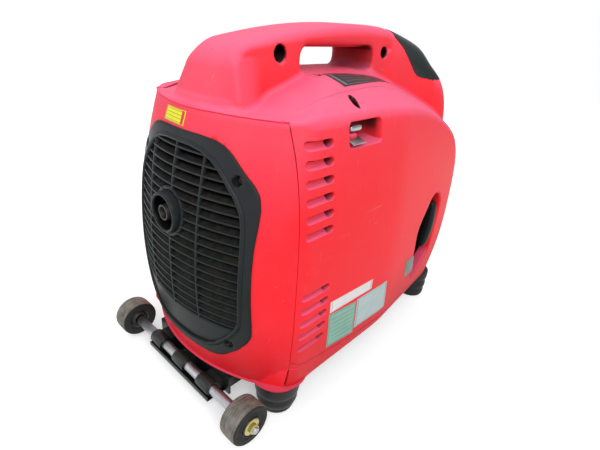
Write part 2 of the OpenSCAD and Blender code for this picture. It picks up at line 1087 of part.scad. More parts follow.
module eco_switch_frame() {
    half_y = eco_w / 2;
    half_z = eco_r + 2;
    color([0.12, 0.12, 0.12])
    translate([0, eco_place[0], eco_place[1]])
    difference() {
        union() {
            block([panel_x, -half_y - 4, -half_z - 3], [panel_x + 2, half_y + 4, half_z + 3]);
            block([panel_x - body_depth - 4, -half_y - 1.5, -half_z], [panel_x, half_y + 1.5, half_z]);
        }
        rod_y(-half_y - body_gap, half_y + body_gap, eco_axis_x, 0, eco_r + body_gap);
        block(
            [eco_axis_x, -half_y - body_gap, -eco_r - body_gap],
            [panel_x + 3, half_y + body_gap, eco_r + body_gap]
        );
    }
}

module eco_switch() {
    color(red)
    translate([eco_axis_x, eco_place[0], eco_place[1]])
    difference() {
        rod_y(-eco_w / 2, eco_w / 2, 0, 0, eco_r);
        translate([eco_r + 9, 0, 3])
        rod_y(-eco_w, eco_w, 0, 0, 12);
    }
}

module breaker_button() {
    color([0.9, 0.9, 0.88])
    rod_x(panel_x - 8, panel_x + 5, breaker_place[0], breaker_place[1], button_r);
}

module indicator_lamps() {
    color([0.3, 0.75, 0.35])
    for (p = lamp_places)
        intersection() {
            rod_x(panel_x - 8, panel_x + 3, p[0], p[1], lamp_r);
            translate([panel_x - 3, p[0], p[1]])
            sphere(r = 7);
        }
}

module earth_terminal() {
    color(zinc) {
        rod_x(panel_x - 10, panel_x + 14, earth_place[0], earth_place[1], stud_r);
        difference() {
            union() {
                rod_x(panel_x, panel_x + 1.2, earth_place[0], earth_place[1], 8);
                translate([panel_x + 1.2, earth_place[0], earth_place[1]])
                rotate([0, 90, 0])
                cylinder(r = 7.5, h = 5, $fn = 6);
            }
            rod_x(panel_x - 1, panel_x + 7, earth_place[0], earth_place[1], stud_r - 0.2);
        }
    }
}

// ---- Fuel ------------------------------------------------------------------

module fuel_tank() {
    wall = 2.5;
    color(steel)
    difference() {
        union() {
            along(tank_x0, tank_x1)
            rounded_rect([-tank_half, tank_z0], [tank_half, tank_z1], 20);
            translate([cap_x, cap_y, tank_z0 + 30])
            cylinder(r = neck_r, h = neck_top_z - tank_z0 - 30);
        }
        along(tank_x0 + wall, tank_x1 - wall)
        rounded_rect([-tank_half + wall, tank_z0 + wall], [tank_half - wall, tank_z1 - wall], 20 - wall);
        translate([cap_x, cap_y, tank_z0 + 30])
        cylinder(r = neck_r - wall, h = neck_top_z);
    }
}

module tank_frame() {
    strap_w = 20;
    strap_t = 3;
    leg_y = tank_half + 3;
    color(black)
    for (x = [tank_x0 + 8, tank_x1 - 60])
        translate([x, 0, 0]) {
            block([0, -leg_y - strap_t, tank_z0 - strap_t], [strap_w, leg_y + strap_t, tank_z0]);
            for (y = [-leg_y - strap_t, leg_y])
                block([0, y, pan_top_z], [strap_w, y + strap_t, tank_z0 - strap_t]);
        }
}

module fuel_cap() {
    roof_clear = 1.5;
    color(black)
    translate([cap_x, cap_y, 0])
    difference() {
        union() {
            translate([0, 0, neck_top_z - roof_clear])
            cylinder(r = cap_r, h = cap_h - 3);
            translate([0, 0, neck_top_z - roof_clear])
            cylinder(r = cap_r - 3, h = cap_h);
            for (a = [0 : 30 : 330])
                rotate([0, 0, a])
                translate([cap_r - 0.5, 0, neck_top_z - roof_clear])
                cylinder(r = 2, h = cap_h - 3);
        }
        translate([0, 0, neck_top_z - roof_clear - 1])
        cylinder(r = neck_r + body_gap, h = roof_clear + 1 + body_gap);
    }
}

module vent_lever() {
    base_z = neck_top_z - 1.5 + cap_h + 0.3;
    color([0.15, 0.15, 0.15])
    translate([cap_x, cap_y, base_z]) {
        cylinder(r = 7, h = 5);
        block([0, -3, 0], [20, 3, 4]);
    }
}

module fuel_lever() {
    floor_y = -window_floor_y;
    color(zinc)
    translate([lever_x, floor_y, lever_z]) {
        block([-7, -3.4, -5], [7, -body_gap, 5]);
        block([-2, -12, -1], [2, -3.4, 1]);
        block([-10, -17, 2], [10, -10, 5]);
        block([-2, -12, 1], [2, -10, 5]);
    }
}

// ---- Recoil starter --------------------------------------------------------

module recoil_pocket() {
    color(black)
    difference() {
        intersection() {
            housing_form(wall_t + run_gap);
            across(-room / 2, -pocket_floor_y + wall_t)
            pocket_outline(wall_t);
        }
        across(-room / 2, -pocket_floor_y)
        pocket_outline(0);
        rod_y(-room / 2, 0, rope_x, rope_z, rope_r + 2);
    }
}

module recoil_grip() {
    lean = 9;
    color(black) {
        translate([rope_x, 0, rope_z])
        rotate([0, lean, 0])
        across(-grip_y - grip_t / 2, -grip_y + grip_t / 2)
        rounded_rect([-grip_w / 2, -grip_l / 2], [grip_w / 2, grip_l / 2], grip_w / 2 - 0.5);
        rod_y(-grip_y + grip_t / 2, -pocket_floor_y - body_gap, rope_x, rope_z, 7);
    }
}

module recoil_rope() {
    color([0.85, 0.85, 0.8])
    rod_y(-pocket_floor_y - body_gap, -6, rope_x, rope_z + 0.5, rope_r);
}

module recoil_housing() {
    cup_r = shroud_r - 6;
    wall = 2.5;
    boss_r = 7;
    color(black) {
        difference() {
            rod_x(shroud_x1, recoil_x1, 0, crank_z, cup_r);
            rod_x(shroud_x1 - 1, recoil_x1 - wall, 0, crank_z, cup_r - wall);
            rod_y(-cup_r - 5, 0, rope_x, rope_z, rope_r + 2);
            for (a = [0 : 45 : 315])
                translate([0, 32 * cos(a), crank_z + 32 * sin(a)])
                rod_x(recoil_x1 - 5, recoil_x1 + 1, 0, 0, 7);
        }
        rod_x(rope_x - pulley_l / 2 - 4, recoil_x1 - wall, 0, crank_z, boss_r);
    }
}

module recoil_pulley() {
    rim = 6;
    boss_r = 7;
    x0 = rope_x - pulley_l / 2;
    x1 = rope_x + pulley_l / 2;
    color([0.9, 0.9, 0.86])
    difference() {
        rod_x(x0, x1, 0, crank_z, pulley_r + rim);
        translate([rope_x, 0, crank_z])
        rotate([0, 90, 0])
        rotate_extrude()
        translate([pulley_r - rope_r, -rope_r - 1])
        square([2 * rim + rope_r, 2 * rope_r + 2]);
        rod_x(x0 - 1, x1 + 1, 0, crank_z, boss_r + run_gap);
    }
}

// ---- Engine and alternator -------------------------------------------------

cylinder_x = (engine_x0 + engine_x1) / 2;
bearing_r = 17.5;
bearing_w = 12;
web_r = 40;
bore_r = 26;
fin_half = 42;
muffler_gap = 20;
muffler_x1 = tank_x0 - muffler_gap;

module crankcase() {
    color(alloy)
    difference() {
        union() {
            along(engine_x0, engine_x1)
            rounded_rect([-engine_half, engine_z0], [engine_half, engine_z1], 14);
            rod_x(engine_x1, engine_x1 + flange_t, 0, crank_z, shroud_r + 2.5);
        }
        rod_x(engine_x0 + bearing_w, engine_x1 - bearing_w, 0, crank_z, web_r + 5);
        rod_x(engine_x0 - 1, engine_x1 + flange_t + 1, 0, crank_z, bearing_r);
        translate([cylinder_x, 0, crank_z])
        cylinder(r = bore_r, h = 100);
    }
}

module crank_bearings() {
    color(steel)
    for (x = [engine_x0, engine_x1 - bearing_w])
        difference() {
            rod_x(x, x + bearing_w, 0, crank_z, bearing_r - run_gap / 2);
            rod_x(x - 1, x + bearing_w + 1, 0, crank_z, crank_r + run_gap / 2);
        }
}

module crankshaft() {
    throw = 19;
    web_t = 12;
    pin_l = 16;
    cup_x0 = shroud_x1 + 2;
    color(steel) {
        rod_x(engine_x0 - 4, cylinder_x - pin_l / 2, 0, crank_z, crank_r);
        rod_x(cylinder_x + pin_l / 2, cup_x0 + 20, 0, crank_z, crank_r);
        rod_x(cylinder_x - pin_l / 2 - web_t, cylinder_x - pin_l / 2, 0, crank_z, web_r);
        rod_x(cylinder_x + pin_l / 2, cylinder_x + pin_l / 2 + web_t, 0, crank_z, web_r);
        rod_x(cylinder_x - pin_l / 2, cylinder_x + pin_l / 2, 0, crank_z + throw, 9);
        difference() {
            rod_x(cup_x0, cup_x0 + 20, 0, crank_z, 26);
            rod_x(cup_x0 + 3, cup_x0 + 21, 0, crank_z, 23);
        }
    }
}

module alternator_stator() {
    color(copper)
    difference() {
        rod_x(engine_x1 + flange_t, rotor_x0 + rotor_l - 12, 0, crank_z, rotor_r - 18);
        rod_x(engine_x1, rotor_x0 + rotor_l, 0, crank_z, bearing_r + 1);
    }
}

module alternator_rotor() {
    disc_t = 8;
    color(steel)
    difference() {
        rod_x(rotor_x0, rotor_x0 + rotor_l, 0, crank_z, rotor_r);
        rod_x(rotor_x0 - 1, rotor_x0 + rotor_l - disc_t, 0, crank_z, rotor_r - 14);
        rod_x(rotor_x0, rotor_x0 + rotor_l + 1, 0, crank_z, crank_r + run_gap / 2);
    }
}

module cooling_fan() {
    blades = 12;
    blade_r = rotor_r - 3;
    color([0.15, 0.15, 0.15])
    difference() {
        union() {
            rod_x(fan_x0, fan_x0 + 3, 0, crank_z, blade_r);
            rod_x(fan_x0, fan_x0 + fan_l, 0, crank_z, 15);
            for (i = [0 : blades - 1])
                translate([0, 0, crank_z])
                rotate([i * 360 / blades, 0, 0])
                block([fan_x0 + 3, -1, 14], [fan_x0 + fan_l - 3, 1, blade_r - 1]);
        }
        rod_x(fan_x0 - 1, fan_x0 + fan_l + 1, 0, crank_z, crank_r + run_gap / 2);
    }
}

module fan_shroud() {
    x0 = engine_x1 + flange_t;
    color(black)
    difference() {
        rod_x(x0, shroud_x1, 0, crank_z, shroud_r + 2.5);
        rod_x(x0 - 1, shroud_x1 - 2.5, 0, crank_z, shroud_r);
        rod_x(x0, shroud_x1 + 1, 0, crank_z, shroud_r - 14);
    }
}

module cylinder_block() {
    core = 34;
    color(alloy)
    translate([cylinder_x, 0, 0])
    difference() {
        union() {
            block([-core, -core, engine_z1], [core, core, cylinder_z1]);
            for (z = [engine_z1 + 6 : 7 : cylinder_z1 - 6])
                block([-fin_half, -fin_half, z], [fin_half, fin_half, z + 2.5]);
        }
        translate([0, 0, engine_z1 - 1])
        cylinder(r = bore_r, h = cylinder_z1 - engine_z1 + 2);
    }
}

module cylinder_head() {
    color(alloy)
    translate([cylinder_x, 0, 0])
    difference() {
        block([-fin_half, -fin_half, cylinder_z1], [fin_half, fin_half, head_top_z]);
        translate([0, 0, cylinder_z1 - 1])
        cylinder(r = bore_r - 2, h = 7);
        for (y = [-fin_half + 6 : 10 : fin_half - 6])
            block([-fin_half - 1, y, head_top_z - 10], [fin_half + 1, y + 5, head_top_z + 1]);
        rod_y(fin_half - 14, fin_half + 1, 0, cylinder_z1 + 14, 6 + run_gap);
    }
}

module spark_plug() {
    color([0.92, 0.92, 0.9])
    translate([cylinder_x, 0, cylinder_z1 + 14]) {
        rod_y(fin_half - 14, fin_half + 4, 0, 0, 6);
        rod_y(fin_half + 4, fin_half + 10, 0, 0, 9);
        rod_y(fin_half + 10, fin_half + 34, 0, 0, 5);
    }
}

module carburettor() {
    x0 = cylinder_x + fin_half;
    color(alloy) {
        block([x0, -15, cylinder_z1 + 4], [x0 + 28, 15, cylinder_z1 + 26]);
        translate([x0 + 14, 0, cylinder_z1 - 14])
        cylinder(r = 12, h = 18);
    }
}

module air_cleaner() {
    x0 = cylinder_x + fin_half + 28;
    color(black)
    along(x0, x0 + 54)
    rounded_rect([-44, cylinder_z1 - 22], [62, cylinder_z1 + 44], 8);
}

module oil_filler_cap() {
    color([0.95, 0.75, 0.1])
    translate([engine_x0 + 24, 0, engine_z0 + 22]) {
        rod_y(engine_half, engine_half + 5, 0, 0, 9);
        rod_y(engine_half + 5, engine_half + 14, 0, 0, 13);
    }
}

module inverter_module() {
    x0 = recoil_x1 + 4;
    x1 = panel_x - body_depth - 6;
    top_z = 150;
    color(alloy) {
        block([x0 + 8, -80, pan_top_z], [x1, 80, top_z]);
        for (y = [-78 : 12 : 78])
            block([x0, y, pan_top_z + 4], [x0 + 8, y + 2.5, top_z - 4]);
    }
}

module engine_mounts() {
    color(rubber)
    for (x = [engine_x0 + 18, engine_x1 - 14], y = [-42, 42])
        translate([x, y, pan_top_z])
        cylinder(r = 12, h = engine_z0 - pan_top_z);
}

module exhaust_pipe() {
    head_x0 = cylinder_x - fin_half;
    color(steel)
    difference() {
        rod_x(muffler_x1, head_x0, 0, cylinder_z1 + 14, 12);
        rod_x(muffler_x1 - 1, head_x0 + 1, 0, cylinder_z1 + 14, 10);
    }
}

// ---- Wheel kit and feet ----------------------------------------------------

module wheel_bracket() {
    half = 78;
    sheet = 3;
    back_x = axle_x + 15;
    color(black) {
        block([back_x, -half, pan_z - sheet], [back_x + 84, half, pan_z]);
        block([back_x, -half, axle_z - 11], [back_x + sheet, half, pan_z - sheet]);
        for (y = [-half, half - sheet])
            block([back_x + sheet, y, axle_z], [back_x + 50, y + sheet, pan_z - sheet]);
    }
}

module axle_clamps() {
    band_w = 25;
    band_t = 3;
    tube_r = axle_d / 2 + run_gap / 2;
    color(black)
    for (y = [-54, 0, 54])
        difference() {
            union() {
                rod_y(y - band_w / 2, y + band_w / 2, axle_x, axle_z, tube_r + band_t);
                block(
                    [axle_x, y - band_w / 2, axle_z - 5.5],
                    [axle_x + 15, y + band_w / 2, axle_z + 5.5]
                );
            }
            rod_y(y - band_w, y + band_w, axle_x, axle_z, tube_r);
        }
}

module axle_tube() {
    bolt_r = 5;
    color(zinc)
    difference() {
        rod_y(-axle_l / 2, axle_l / 2, axle_x, axle_z, axle_d / 2);
        rod_y(-axle_l, axle_l, axle_x, axle_z, bolt_r + run_gap / 2);
    }
}

module wheel_ring(side, inner_r, outer_r, edge) {
    translate([axle_x, side * (wheel_inner_y + wheel_w / 2), axle_z])
    rotate([90, 0, 0])
    rotate_extrude()
    polygon([
        [inner_r, -wheel_w / 2],
        [outer_r - edge, -wheel_w / 2],
        [outer_r, -wheel_w / 2 + edge],
        [outer_r, wheel_w / 2 - edge],
        [outer_r - edge, wheel_w / 2],
        [inner_r, wheel_w / 2]
    ]);
}

hub_r = 12;
bolt_r = 5;

module near_tyre() {
    color(rubber)
    wheel_ring(-1, hub_r, wheel_r, 3);
}

module near_hub() {
    color([0.35, 0.35, 0.34])
    wheel_ring(-1, bolt_r + run_gap, hub_r - 0.02, 0.5);
}

module far_tyre() {
    color(rubber)
    wheel_ring(1, hub_r, wheel_r, 3);
}

module far_hub() {
    color([0.35, 0.35, 0.34])
    wheel_ring(1, bolt_r + run_gap, hub_r - 0.02, 0.5);
}

module wheel_bolts() {
    outer_y = wheel_inner_y + wheel_w + body_gap;
    color([0.8, 0.72, 0.45])
    for (side = [0, 1])
        mirror([0, side, 0]) {
            rod_y(wheel_inner_y - 30, outer_y, axle_x, axle_z, bolt_r);
            rod_y(outer_y, outer_y + 1.6, axle_x, axle_z, 10);
            translate([axle_x, outer_y + 8, axle_z])
            rotate([90, 0, 0])
            cylinder(r = 9, h = 6.4, $fn = 6);
        }
}

module foot_pedestals() {
    color(red)
    for (side = [-1, 1])
        translate([-foot_x, side * rear_foot_y, 0])
        difference() {
            translate([0, 0, rear_foot_h])
            cylinder(r = foot_r, h = pan_z - rear_foot_h);
            rod_y(-foot_r * 2, foot_r * 2, 0, rear_foot_h, 13);
        }
}

module rubber_foot(height) {
    difference() {
        cylinder(r = foot_r, h = height);
        translate([0, 0, height / 2 + 2])
        rotate_extrude()
        translate([foot_r + 1.2, 0])
        circle(r = 3);
    }
}

module rear_feet() {
    color(rubber)
    for (side = [-1, 1])
        translate([-foot_x, side * rear_foot_y, 0])
        rubber_foot(rear_foot_h);
}

module front_feet() {
    color(rubber)
    for (side = [-1, 1])
        translate([foot_x, side * front_foot_y, 0])
        rubber_foot(pan_z);
}

// ---- The nodes -------------------------------------------------------------

in_frame() rear_cover();
in_frame() near_side_cover();
in_frame() far_side_cover();
in_frame() near_top_half();
in_frame() far_top_half();
in_frame() front_cover();
in_frame() panel_hood();
in_frame() base_pan();
in_frame() service_cover();
in_frame() service_cover_screw();
in_frame() rear_grille();
in_frame() cover_screws();
in_frame() exhaust_outlet();
in_frame() muffler();
in_frame() exhaust_pipe();
in_frame() control_panel();
in_frame() ac_sockets();
in_frame() dc_socket();
in_frame() engine_switch();
in_frame() eco_switch_frame();
in_frame() eco_switch();
in_frame() breaker_button();
in_frame() indicator_lamps();
in_frame() earth_terminal();
in_frame() fuel_tank();
in_frame() tank_frame();
in_frame() fuel_cap();
in_frame() vent_lever();
in_frame() fuel_lever();
in_frame() recoil_pocket();
in_frame() recoil_grip();
in_frame() recoil_rope();
in_frame() recoil_housing();
in_frame() recoil_pulley();
in_frame() crankcase();
in_frame() crank_bearings();
in_frame() crankshaft();
in_frame() alternator_stator();
in_frame() alternator_rotor();
in_frame() cooling_fan();
in_frame() fan_shroud();
in_frame() cylinder_block();  // cylinder
in_frame() cylinder_head();
in_frame() spark_plug();
in_frame() carburettor();
in_frame() air_cleaner();
in_frame() oil_filler_cap();
in_frame() inverter_module();
in_frame() engine_mounts();
in_frame() wheel_bracket();
in_frame() axle_clamps();
in_frame() axle_tube();
in_frame() near_tyre();
in_frame() near_hub();
in_frame() far_tyre();
in_frame() far_hub();
in_frame() wheel_bolts();
in_frame() foot_pedestals();
in_frame() rear_feet();
in_frame() front_feet();
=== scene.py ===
# %% [markdown]
# # Portable generator: a suitcase-style housing on two wheels
# This notebook dresses a finished CAD model. The engine, panel, wheels and fasteners stay as CAD solids
# with better finishes. The moulded covers, the grille, the grip and the labels are made again as smooth
# surfaces, because a moulded cover has soft edges and blended corners that a plain solid doesn't show.

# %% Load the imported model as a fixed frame
import json
import math
import bpy
import numpy as np
from mathutils import Matrix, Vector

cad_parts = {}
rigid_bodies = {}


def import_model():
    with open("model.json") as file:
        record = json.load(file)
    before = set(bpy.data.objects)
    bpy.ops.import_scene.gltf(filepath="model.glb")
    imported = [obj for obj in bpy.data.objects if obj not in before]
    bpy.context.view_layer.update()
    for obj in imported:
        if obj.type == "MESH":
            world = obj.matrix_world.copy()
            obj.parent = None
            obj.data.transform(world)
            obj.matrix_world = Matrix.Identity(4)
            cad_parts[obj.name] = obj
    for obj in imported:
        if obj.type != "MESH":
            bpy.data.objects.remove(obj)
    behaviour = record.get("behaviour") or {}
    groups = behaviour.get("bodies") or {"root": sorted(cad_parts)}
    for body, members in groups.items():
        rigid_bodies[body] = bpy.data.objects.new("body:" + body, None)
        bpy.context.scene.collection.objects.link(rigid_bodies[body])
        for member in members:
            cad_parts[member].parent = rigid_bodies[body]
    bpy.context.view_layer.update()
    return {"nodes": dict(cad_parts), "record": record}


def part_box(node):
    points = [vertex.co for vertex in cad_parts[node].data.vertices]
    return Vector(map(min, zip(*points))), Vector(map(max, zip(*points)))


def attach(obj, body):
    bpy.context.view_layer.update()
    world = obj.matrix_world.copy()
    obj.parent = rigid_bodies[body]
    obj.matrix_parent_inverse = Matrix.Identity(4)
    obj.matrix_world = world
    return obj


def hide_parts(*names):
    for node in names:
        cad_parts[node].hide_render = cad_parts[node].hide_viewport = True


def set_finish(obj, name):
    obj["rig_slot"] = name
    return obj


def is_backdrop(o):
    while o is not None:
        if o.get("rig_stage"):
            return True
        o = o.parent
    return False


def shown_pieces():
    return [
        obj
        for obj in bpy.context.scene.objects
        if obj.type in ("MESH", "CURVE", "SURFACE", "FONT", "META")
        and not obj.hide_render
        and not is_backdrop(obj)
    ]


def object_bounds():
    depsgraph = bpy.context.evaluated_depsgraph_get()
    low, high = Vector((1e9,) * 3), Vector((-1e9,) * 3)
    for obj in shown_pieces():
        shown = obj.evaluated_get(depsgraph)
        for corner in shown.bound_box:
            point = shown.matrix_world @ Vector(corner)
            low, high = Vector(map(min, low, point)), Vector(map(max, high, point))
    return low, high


for left_over in list(bpy.data.objects):
    bpy.data.objects.remove(left_over)
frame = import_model()
scene = bpy.context.scene
mm = 0.001
axle_x = -247.0
axle_low, axle_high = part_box("axle_tube")
axle_z = (axle_low.z + axle_high.z) / 2 / mm
shift = (axle_low.x + axle_high.x) / 2 / mm - axle_x
print("CAD nodes:", len(frame["nodes"]), "housing shift along X, mm:", round(shift, 2))


def in_metres(points):
    """Housing millimetres to the shared frame in metres: X is moved by the shift, then all is divided by
    1000."""
    return (np.asarray(points, float) + [shift, 0, 0]) * mm


def placement(columns, place):
    """A placement matrix from three unit columns and a place in metres."""
    turn = np.eye(4)
    turn[:3, :3] = np.stack(columns, 1)
    turn[:3, 3] = place
    return Matrix(turn.tolist())


# %% [markdown]
# ## Camera
# The camera looks down at the exhaust end from the recoil side. It has the place, turn and lens that make
# the same edges line up as in a hand-held view, so every later shape can be compared with the real
# object.

# %% Camera
camera_spot = np.array([-456.6 + shift, -379.9, 445.0]) * mm
right = np.array([0.6871, -0.7241, 0.0601])
ahead = np.array([0.6697, 0.5990, -0.4391])
right /= np.linalg.norm(right)
ahead -= right * (ahead @ right)
ahead /= np.linalg.norm(ahead)

lens_data = bpy.data.cameras.new("view")
lens_data.sensor_width = 36
lens_data.lens = 24.94
lens_data.shift_x = -0.0016
lens_data.shift_y = -0.0002
lens_data.clip_start = 0.01
lens_data.clip_end = 30
camera = bpy.data.objects.new("view", lens_data)
camera.matrix_world = placement([right, np.cross(right, ahead), -ahead], camera_spot)
scene.collection.objects.link(camera)
scene.camera = camera
print("camera at", camera_spot.round(3))

# %% [markdown]
# ## Nodes in one line each
# Shaders could be drawn by hand in the editor. Here a few helpers add one node each and pass on its
# output, so a material reads like a formula: a number becomes the socket's value, and another node's
# output becomes a link.

# %% Node helpers


def add_tree(owner):
    """Clears a node tree and returns it."""
    owner.use_nodes = True
    owner.node_tree.nodes.clear()
    return owner.node_tree


def feed(tree, slot, value):
    """Gives a socket a value, or a link if the value is itself a socket."""
    if isinstance(value, bpy.types.NodeSocket):
        tree.links.new(value, slot)
    else:
        slot.default_value = value


def add_node(tree, kind, *values, **named):
    """One node. Values go to its inputs in order. A lower-case name is a property, set first, and any
    other name is an input."""
    node = tree.nodes.new(kind)
    for key, value in named.items():
        if key.islower():
            setattr(node, key, value)
        else:
            feed(tree, node.inputs[key.replace("_", " ")], value)
    for slot, value in zip(node.inputs, values):
        feed(tree, slot, value)
    return node


print("nodes can be added")

# %% Values and colours from nodes


def math_of(tree, operation, *values, clamp=False):
    """One Math node's value; clamp keeps it between 0 and 1."""
    return add_node(tree, "ShaderNodeMath", *values, operation=operation, use_clamp=clamp).outputs[0]


def product(tree, *values, clamp=False):
    """The values multiplied together, by one Math node for each after the first."""
    total = values[0]
    for value in values[1:]:
        total = math_of(tree, "MULTIPLY", total, value, clamp=clamp)
    return total


def noise_of(tree, vector, scale, detail=3.0, rough=0.5):
    """One Noise node's value; the scale may be a socket."""
    return add_node(tree, "ShaderNodeTexNoise", Vector=vector, Scale=scale, Detail=detail,
                    Roughness=rough).outputs[0]


def blend_of(tree, factor, a, b):
    """Colour a where the factor is 0 and colour b where it is 1, from one Mix node."""
    node = add_node(tree, "ShaderNodeMix", factor, data_type="RGBA")
    feed(tree, node.inputs[6], a)
    feed(tree, node.inputs[7], b)
    return node.outputs[2]


def band(tree, value, low, high):
    """0 below low, 1 above high, linear between, as one Map Range node; low may be the larger of the
    two."""
    return add_node(tree, "ShaderNodeMapRange", value, low, high).outputs[0]


def part_of(tree, vector, axis):
    """The X, Y or Z part of a vector, by number."""
    return add_node(tree, "ShaderNodeSeparateXYZ", vector).outputs[axis]


def attribute_of(tree, name):
    """A value that the mesh carries at its points."""
    return add_node(tree, "ShaderNodeAttribute", attribute_name=name).outputs["Fac"]


def seen_by(tree, one_kind, other_kind):
    """1 for light paths of either kind, and 0 for others."""
    paths = add_node(tree, "ShaderNodeLightPath").outputs
    return math_of(tree, "MAXIMUM", paths[one_kind], paths[other_kind])


def rgb(*c):
    """A colour with full alpha."""
    return (*c, 1.0)


print("node helpers ready")

# %% [markdown]
# ## Backdrop and light
# The backdrop is white only for rays that the camera or glass sends out, so it doesn't add light. Three
# large soft lamps give the broad highlights of a cloudy sky.

# %% Sky and lamps
scene.view_settings.view_transform = "Standard"
world = bpy.data.worlds.new("sky")
scene.world = world
tree = add_tree(world)
soft_sky = add_node(tree, "ShaderNodeBackground", Color=rgb(0.93, 0.96, 1.0), Strength=0.54)
white_sky = add_node(tree, "ShaderNodeBackground", Color=rgb(1, 1, 1), Strength=1.0)
seen = seen_by(tree, "Is Camera Ray", "Is Transmission Ray")
pick = add_node(tree, "ShaderNodeMixShader", seen, soft_sky.outputs[0], white_sky.outputs[0])
add_node(tree, "ShaderNodeOutputWorld", pick.outputs[0])


def lamp(name, place, aim, size, power, tint=(1, 1, 1)):
    """A square area lamp at a place in metres, turned so that its face looks at the aim point."""
    data = bpy.data.lights.new(name, "AREA")
    data.size = size
    data.energy = power
    data.color = tint
    z = np.array(place, float) - np.array(aim, float)
    z /= np.linalg.norm(z)
    x = np.cross([0, 0, 1.0], z)
    x /= np.linalg.norm(x)
    made = bpy.data.objects.new(name, data)
    made.matrix_world = placement([x, np.cross(z, x), z], place)
    scene.collection.objects.link(made)


lamp("key", (-1.1, -1.5, 1.7), (0, 0, 0.2), 1.5, 29, (1, 0.99, 0.97))
lamp("overhead", (0.3, 0.4, 2.2), (0, 0, 0.3), 1.8, 14, (0.95, 0.97, 1))
lamp("fill", (-1.8, 1.0, 0.9), (0, 0, 0.2), 1.4, 7)
print("lamps:", len(bpy.data.lights))

# %% [markdown]
# ## From arrays to meshes
# Every new piece is worked out as an array of points. These functions number the points, join neighbours
# into faces and hand whole arrays to the mesh at once, which is far quicker than adding points one by
# one.

# %% Meshes from arrays


def grid_quads(rows, cols, start=0, close_u=False, close_v=False):
    """Quads between the neighbours of a grid whose points are numbered row by row from start, as an array
    of (rows, columns, 4). A closed direction joins its last line to its first."""
    index = start + np.arange(rows * cols).reshape(rows, cols)
    if close_u:
        index = np.vstack([index, index[:1]])
    if close_v:
        index = np.hstack([index, index[:, :1]])
    return np.stack([index[:-1, :-1], index[1:, :-1], index[1:, 1:], index[:-1, 1:]], -1)


turned_round = [0, 3, 2, 1]  # the order of a quad's corners that makes it face the other way


def halved(quads):
    """Two triangles for each quad."""
    return np.vstack([quads[:, [0, 1, 2]], quads[:, [0, 2, 3]]])


def poly_mesh(name, points, faces, extra=None):
    """A smooth-shaded object at the origin, from points in housing millimetres, equal-sided faces and
    values per point. Unused points are dropped."""
    faces = np.asarray(faces, np.int32)
    sides = faces.shape[-1]
    used, faces = np.unique(faces, return_inverse=True)
    faces = faces.reshape(-1, sides)
    points = np.asarray(points)[used]
    mesh = bpy.data.meshes.new(name)
    mesh.vertices.add(len(points))
    mesh.vertices.foreach_set("co", in_metres(points).astype(np.float32).ravel())
    mesh.loops.add(faces.size)
    mesh.loops.foreach_set("vertex_index", faces.astype(np.int32).ravel())
    mesh.polygons.add(len(faces))
    mesh.polygons.foreach_set("loop_start", np.arange(0, faces.size, sides, dtype=np.int32))
    mesh.polygons.foreach_set("use_smooth", np.ones(len(faces), bool))
    for key, value in (extra or {}).items():
        layer = mesh.attributes.new(key, "FLOAT", "POINT")
        layer.data.foreach_set("value", np.asarray(value).reshape(-1)[used].astype(np.float32))
    mesh.update(calc_edges=True)
    mesh.validate()
    made = bpy.data.objects.new(name, mesh)
    scene.collection.objects.link(made)
    return made


def grid_mesh(name, points, close_u=False, close_v=False, flip=False, keep=None, extra=None):
    """A mesh from a grid of points of shape (rows, columns, 3) in housing millimetres; keep masks its
    cells."""
    quads = grid_quads(*points.shape[:2], 0, close_u, close_v)
    quads = quads[keep] if keep is not None else quads.reshape(-1, 4)
    if flip:
        quads = quads[:, ::-1]
    return poly_mesh(name, points.reshape(-1, 3), quads, extra)


print("mesh functions ready")

# %% [markdown]
# ## Floor
# A plain diffuse floor would fade to grey far away. This one adds a glow that grows with distance and
# that only the camera and gloss can see, so the shadow stays and the edge of the floor melts into the
# backdrop.

# %% Floor
floor_half = 3500
floor_z = -0.4
side = np.linspace(-floor_half, floor_half, 15)
floor_points = np.stack([*np.meshgrid(side, side, indexing="ij"), np.full((15, 15), floor_z)], -1)
floor = grid_mesh("floor", floor_points)
floor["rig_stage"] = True
floor_finish = bpy.data.materials.new("pale_floor")
tree = add_tree(floor_finish)
paint = add_node(tree, "ShaderNodeBsdfDiffuse", Color=rgb(0.86, 0.86, 0.86), Roughness=1.0)
from_middle = add_node(tree, "ShaderNodeTexCoord").outputs["Object"]
far_off = add_node(tree, "ShaderNodeVectorMath", from_middle, operation="LENGTH").outputs["Value"]
fade = add_node(tree, "ShaderNodeMapRange", far_off, 0.45, 1.1, 0.34, 0.75)
glow = add_node(tree, "ShaderNodeEmission", Color=rgb(1, 1, 1), Strength=fade.outputs[0])
both = add_node(tree, "ShaderNodeAddShader", paint.outputs[0], glow.outputs[0])
seen = seen_by(tree, "Is Camera Ray", "Is Glossy Ray")
pick = add_node(tree, "ShaderNodeMixShader", seen, paint.outputs[0], both.outputs[0])
add_node(tree, "ShaderNodeOutputMaterial", pick.outputs[0])
floor.data.materials.append(floor_finish)
print("floor:", len(floor.data.polygons), "quads")

# %% [markdown]
# ## Shared effects
# Moulded plastic is never one flat colour: it has a fine grain from the mould, broad patches where it has
# faded, thin scuffs from use, and dust that settles on what faces upwards. Each of these is one node
# group with named inputs, built once, and every material uses it with its own values.

# %% Grain, scuffs and dust


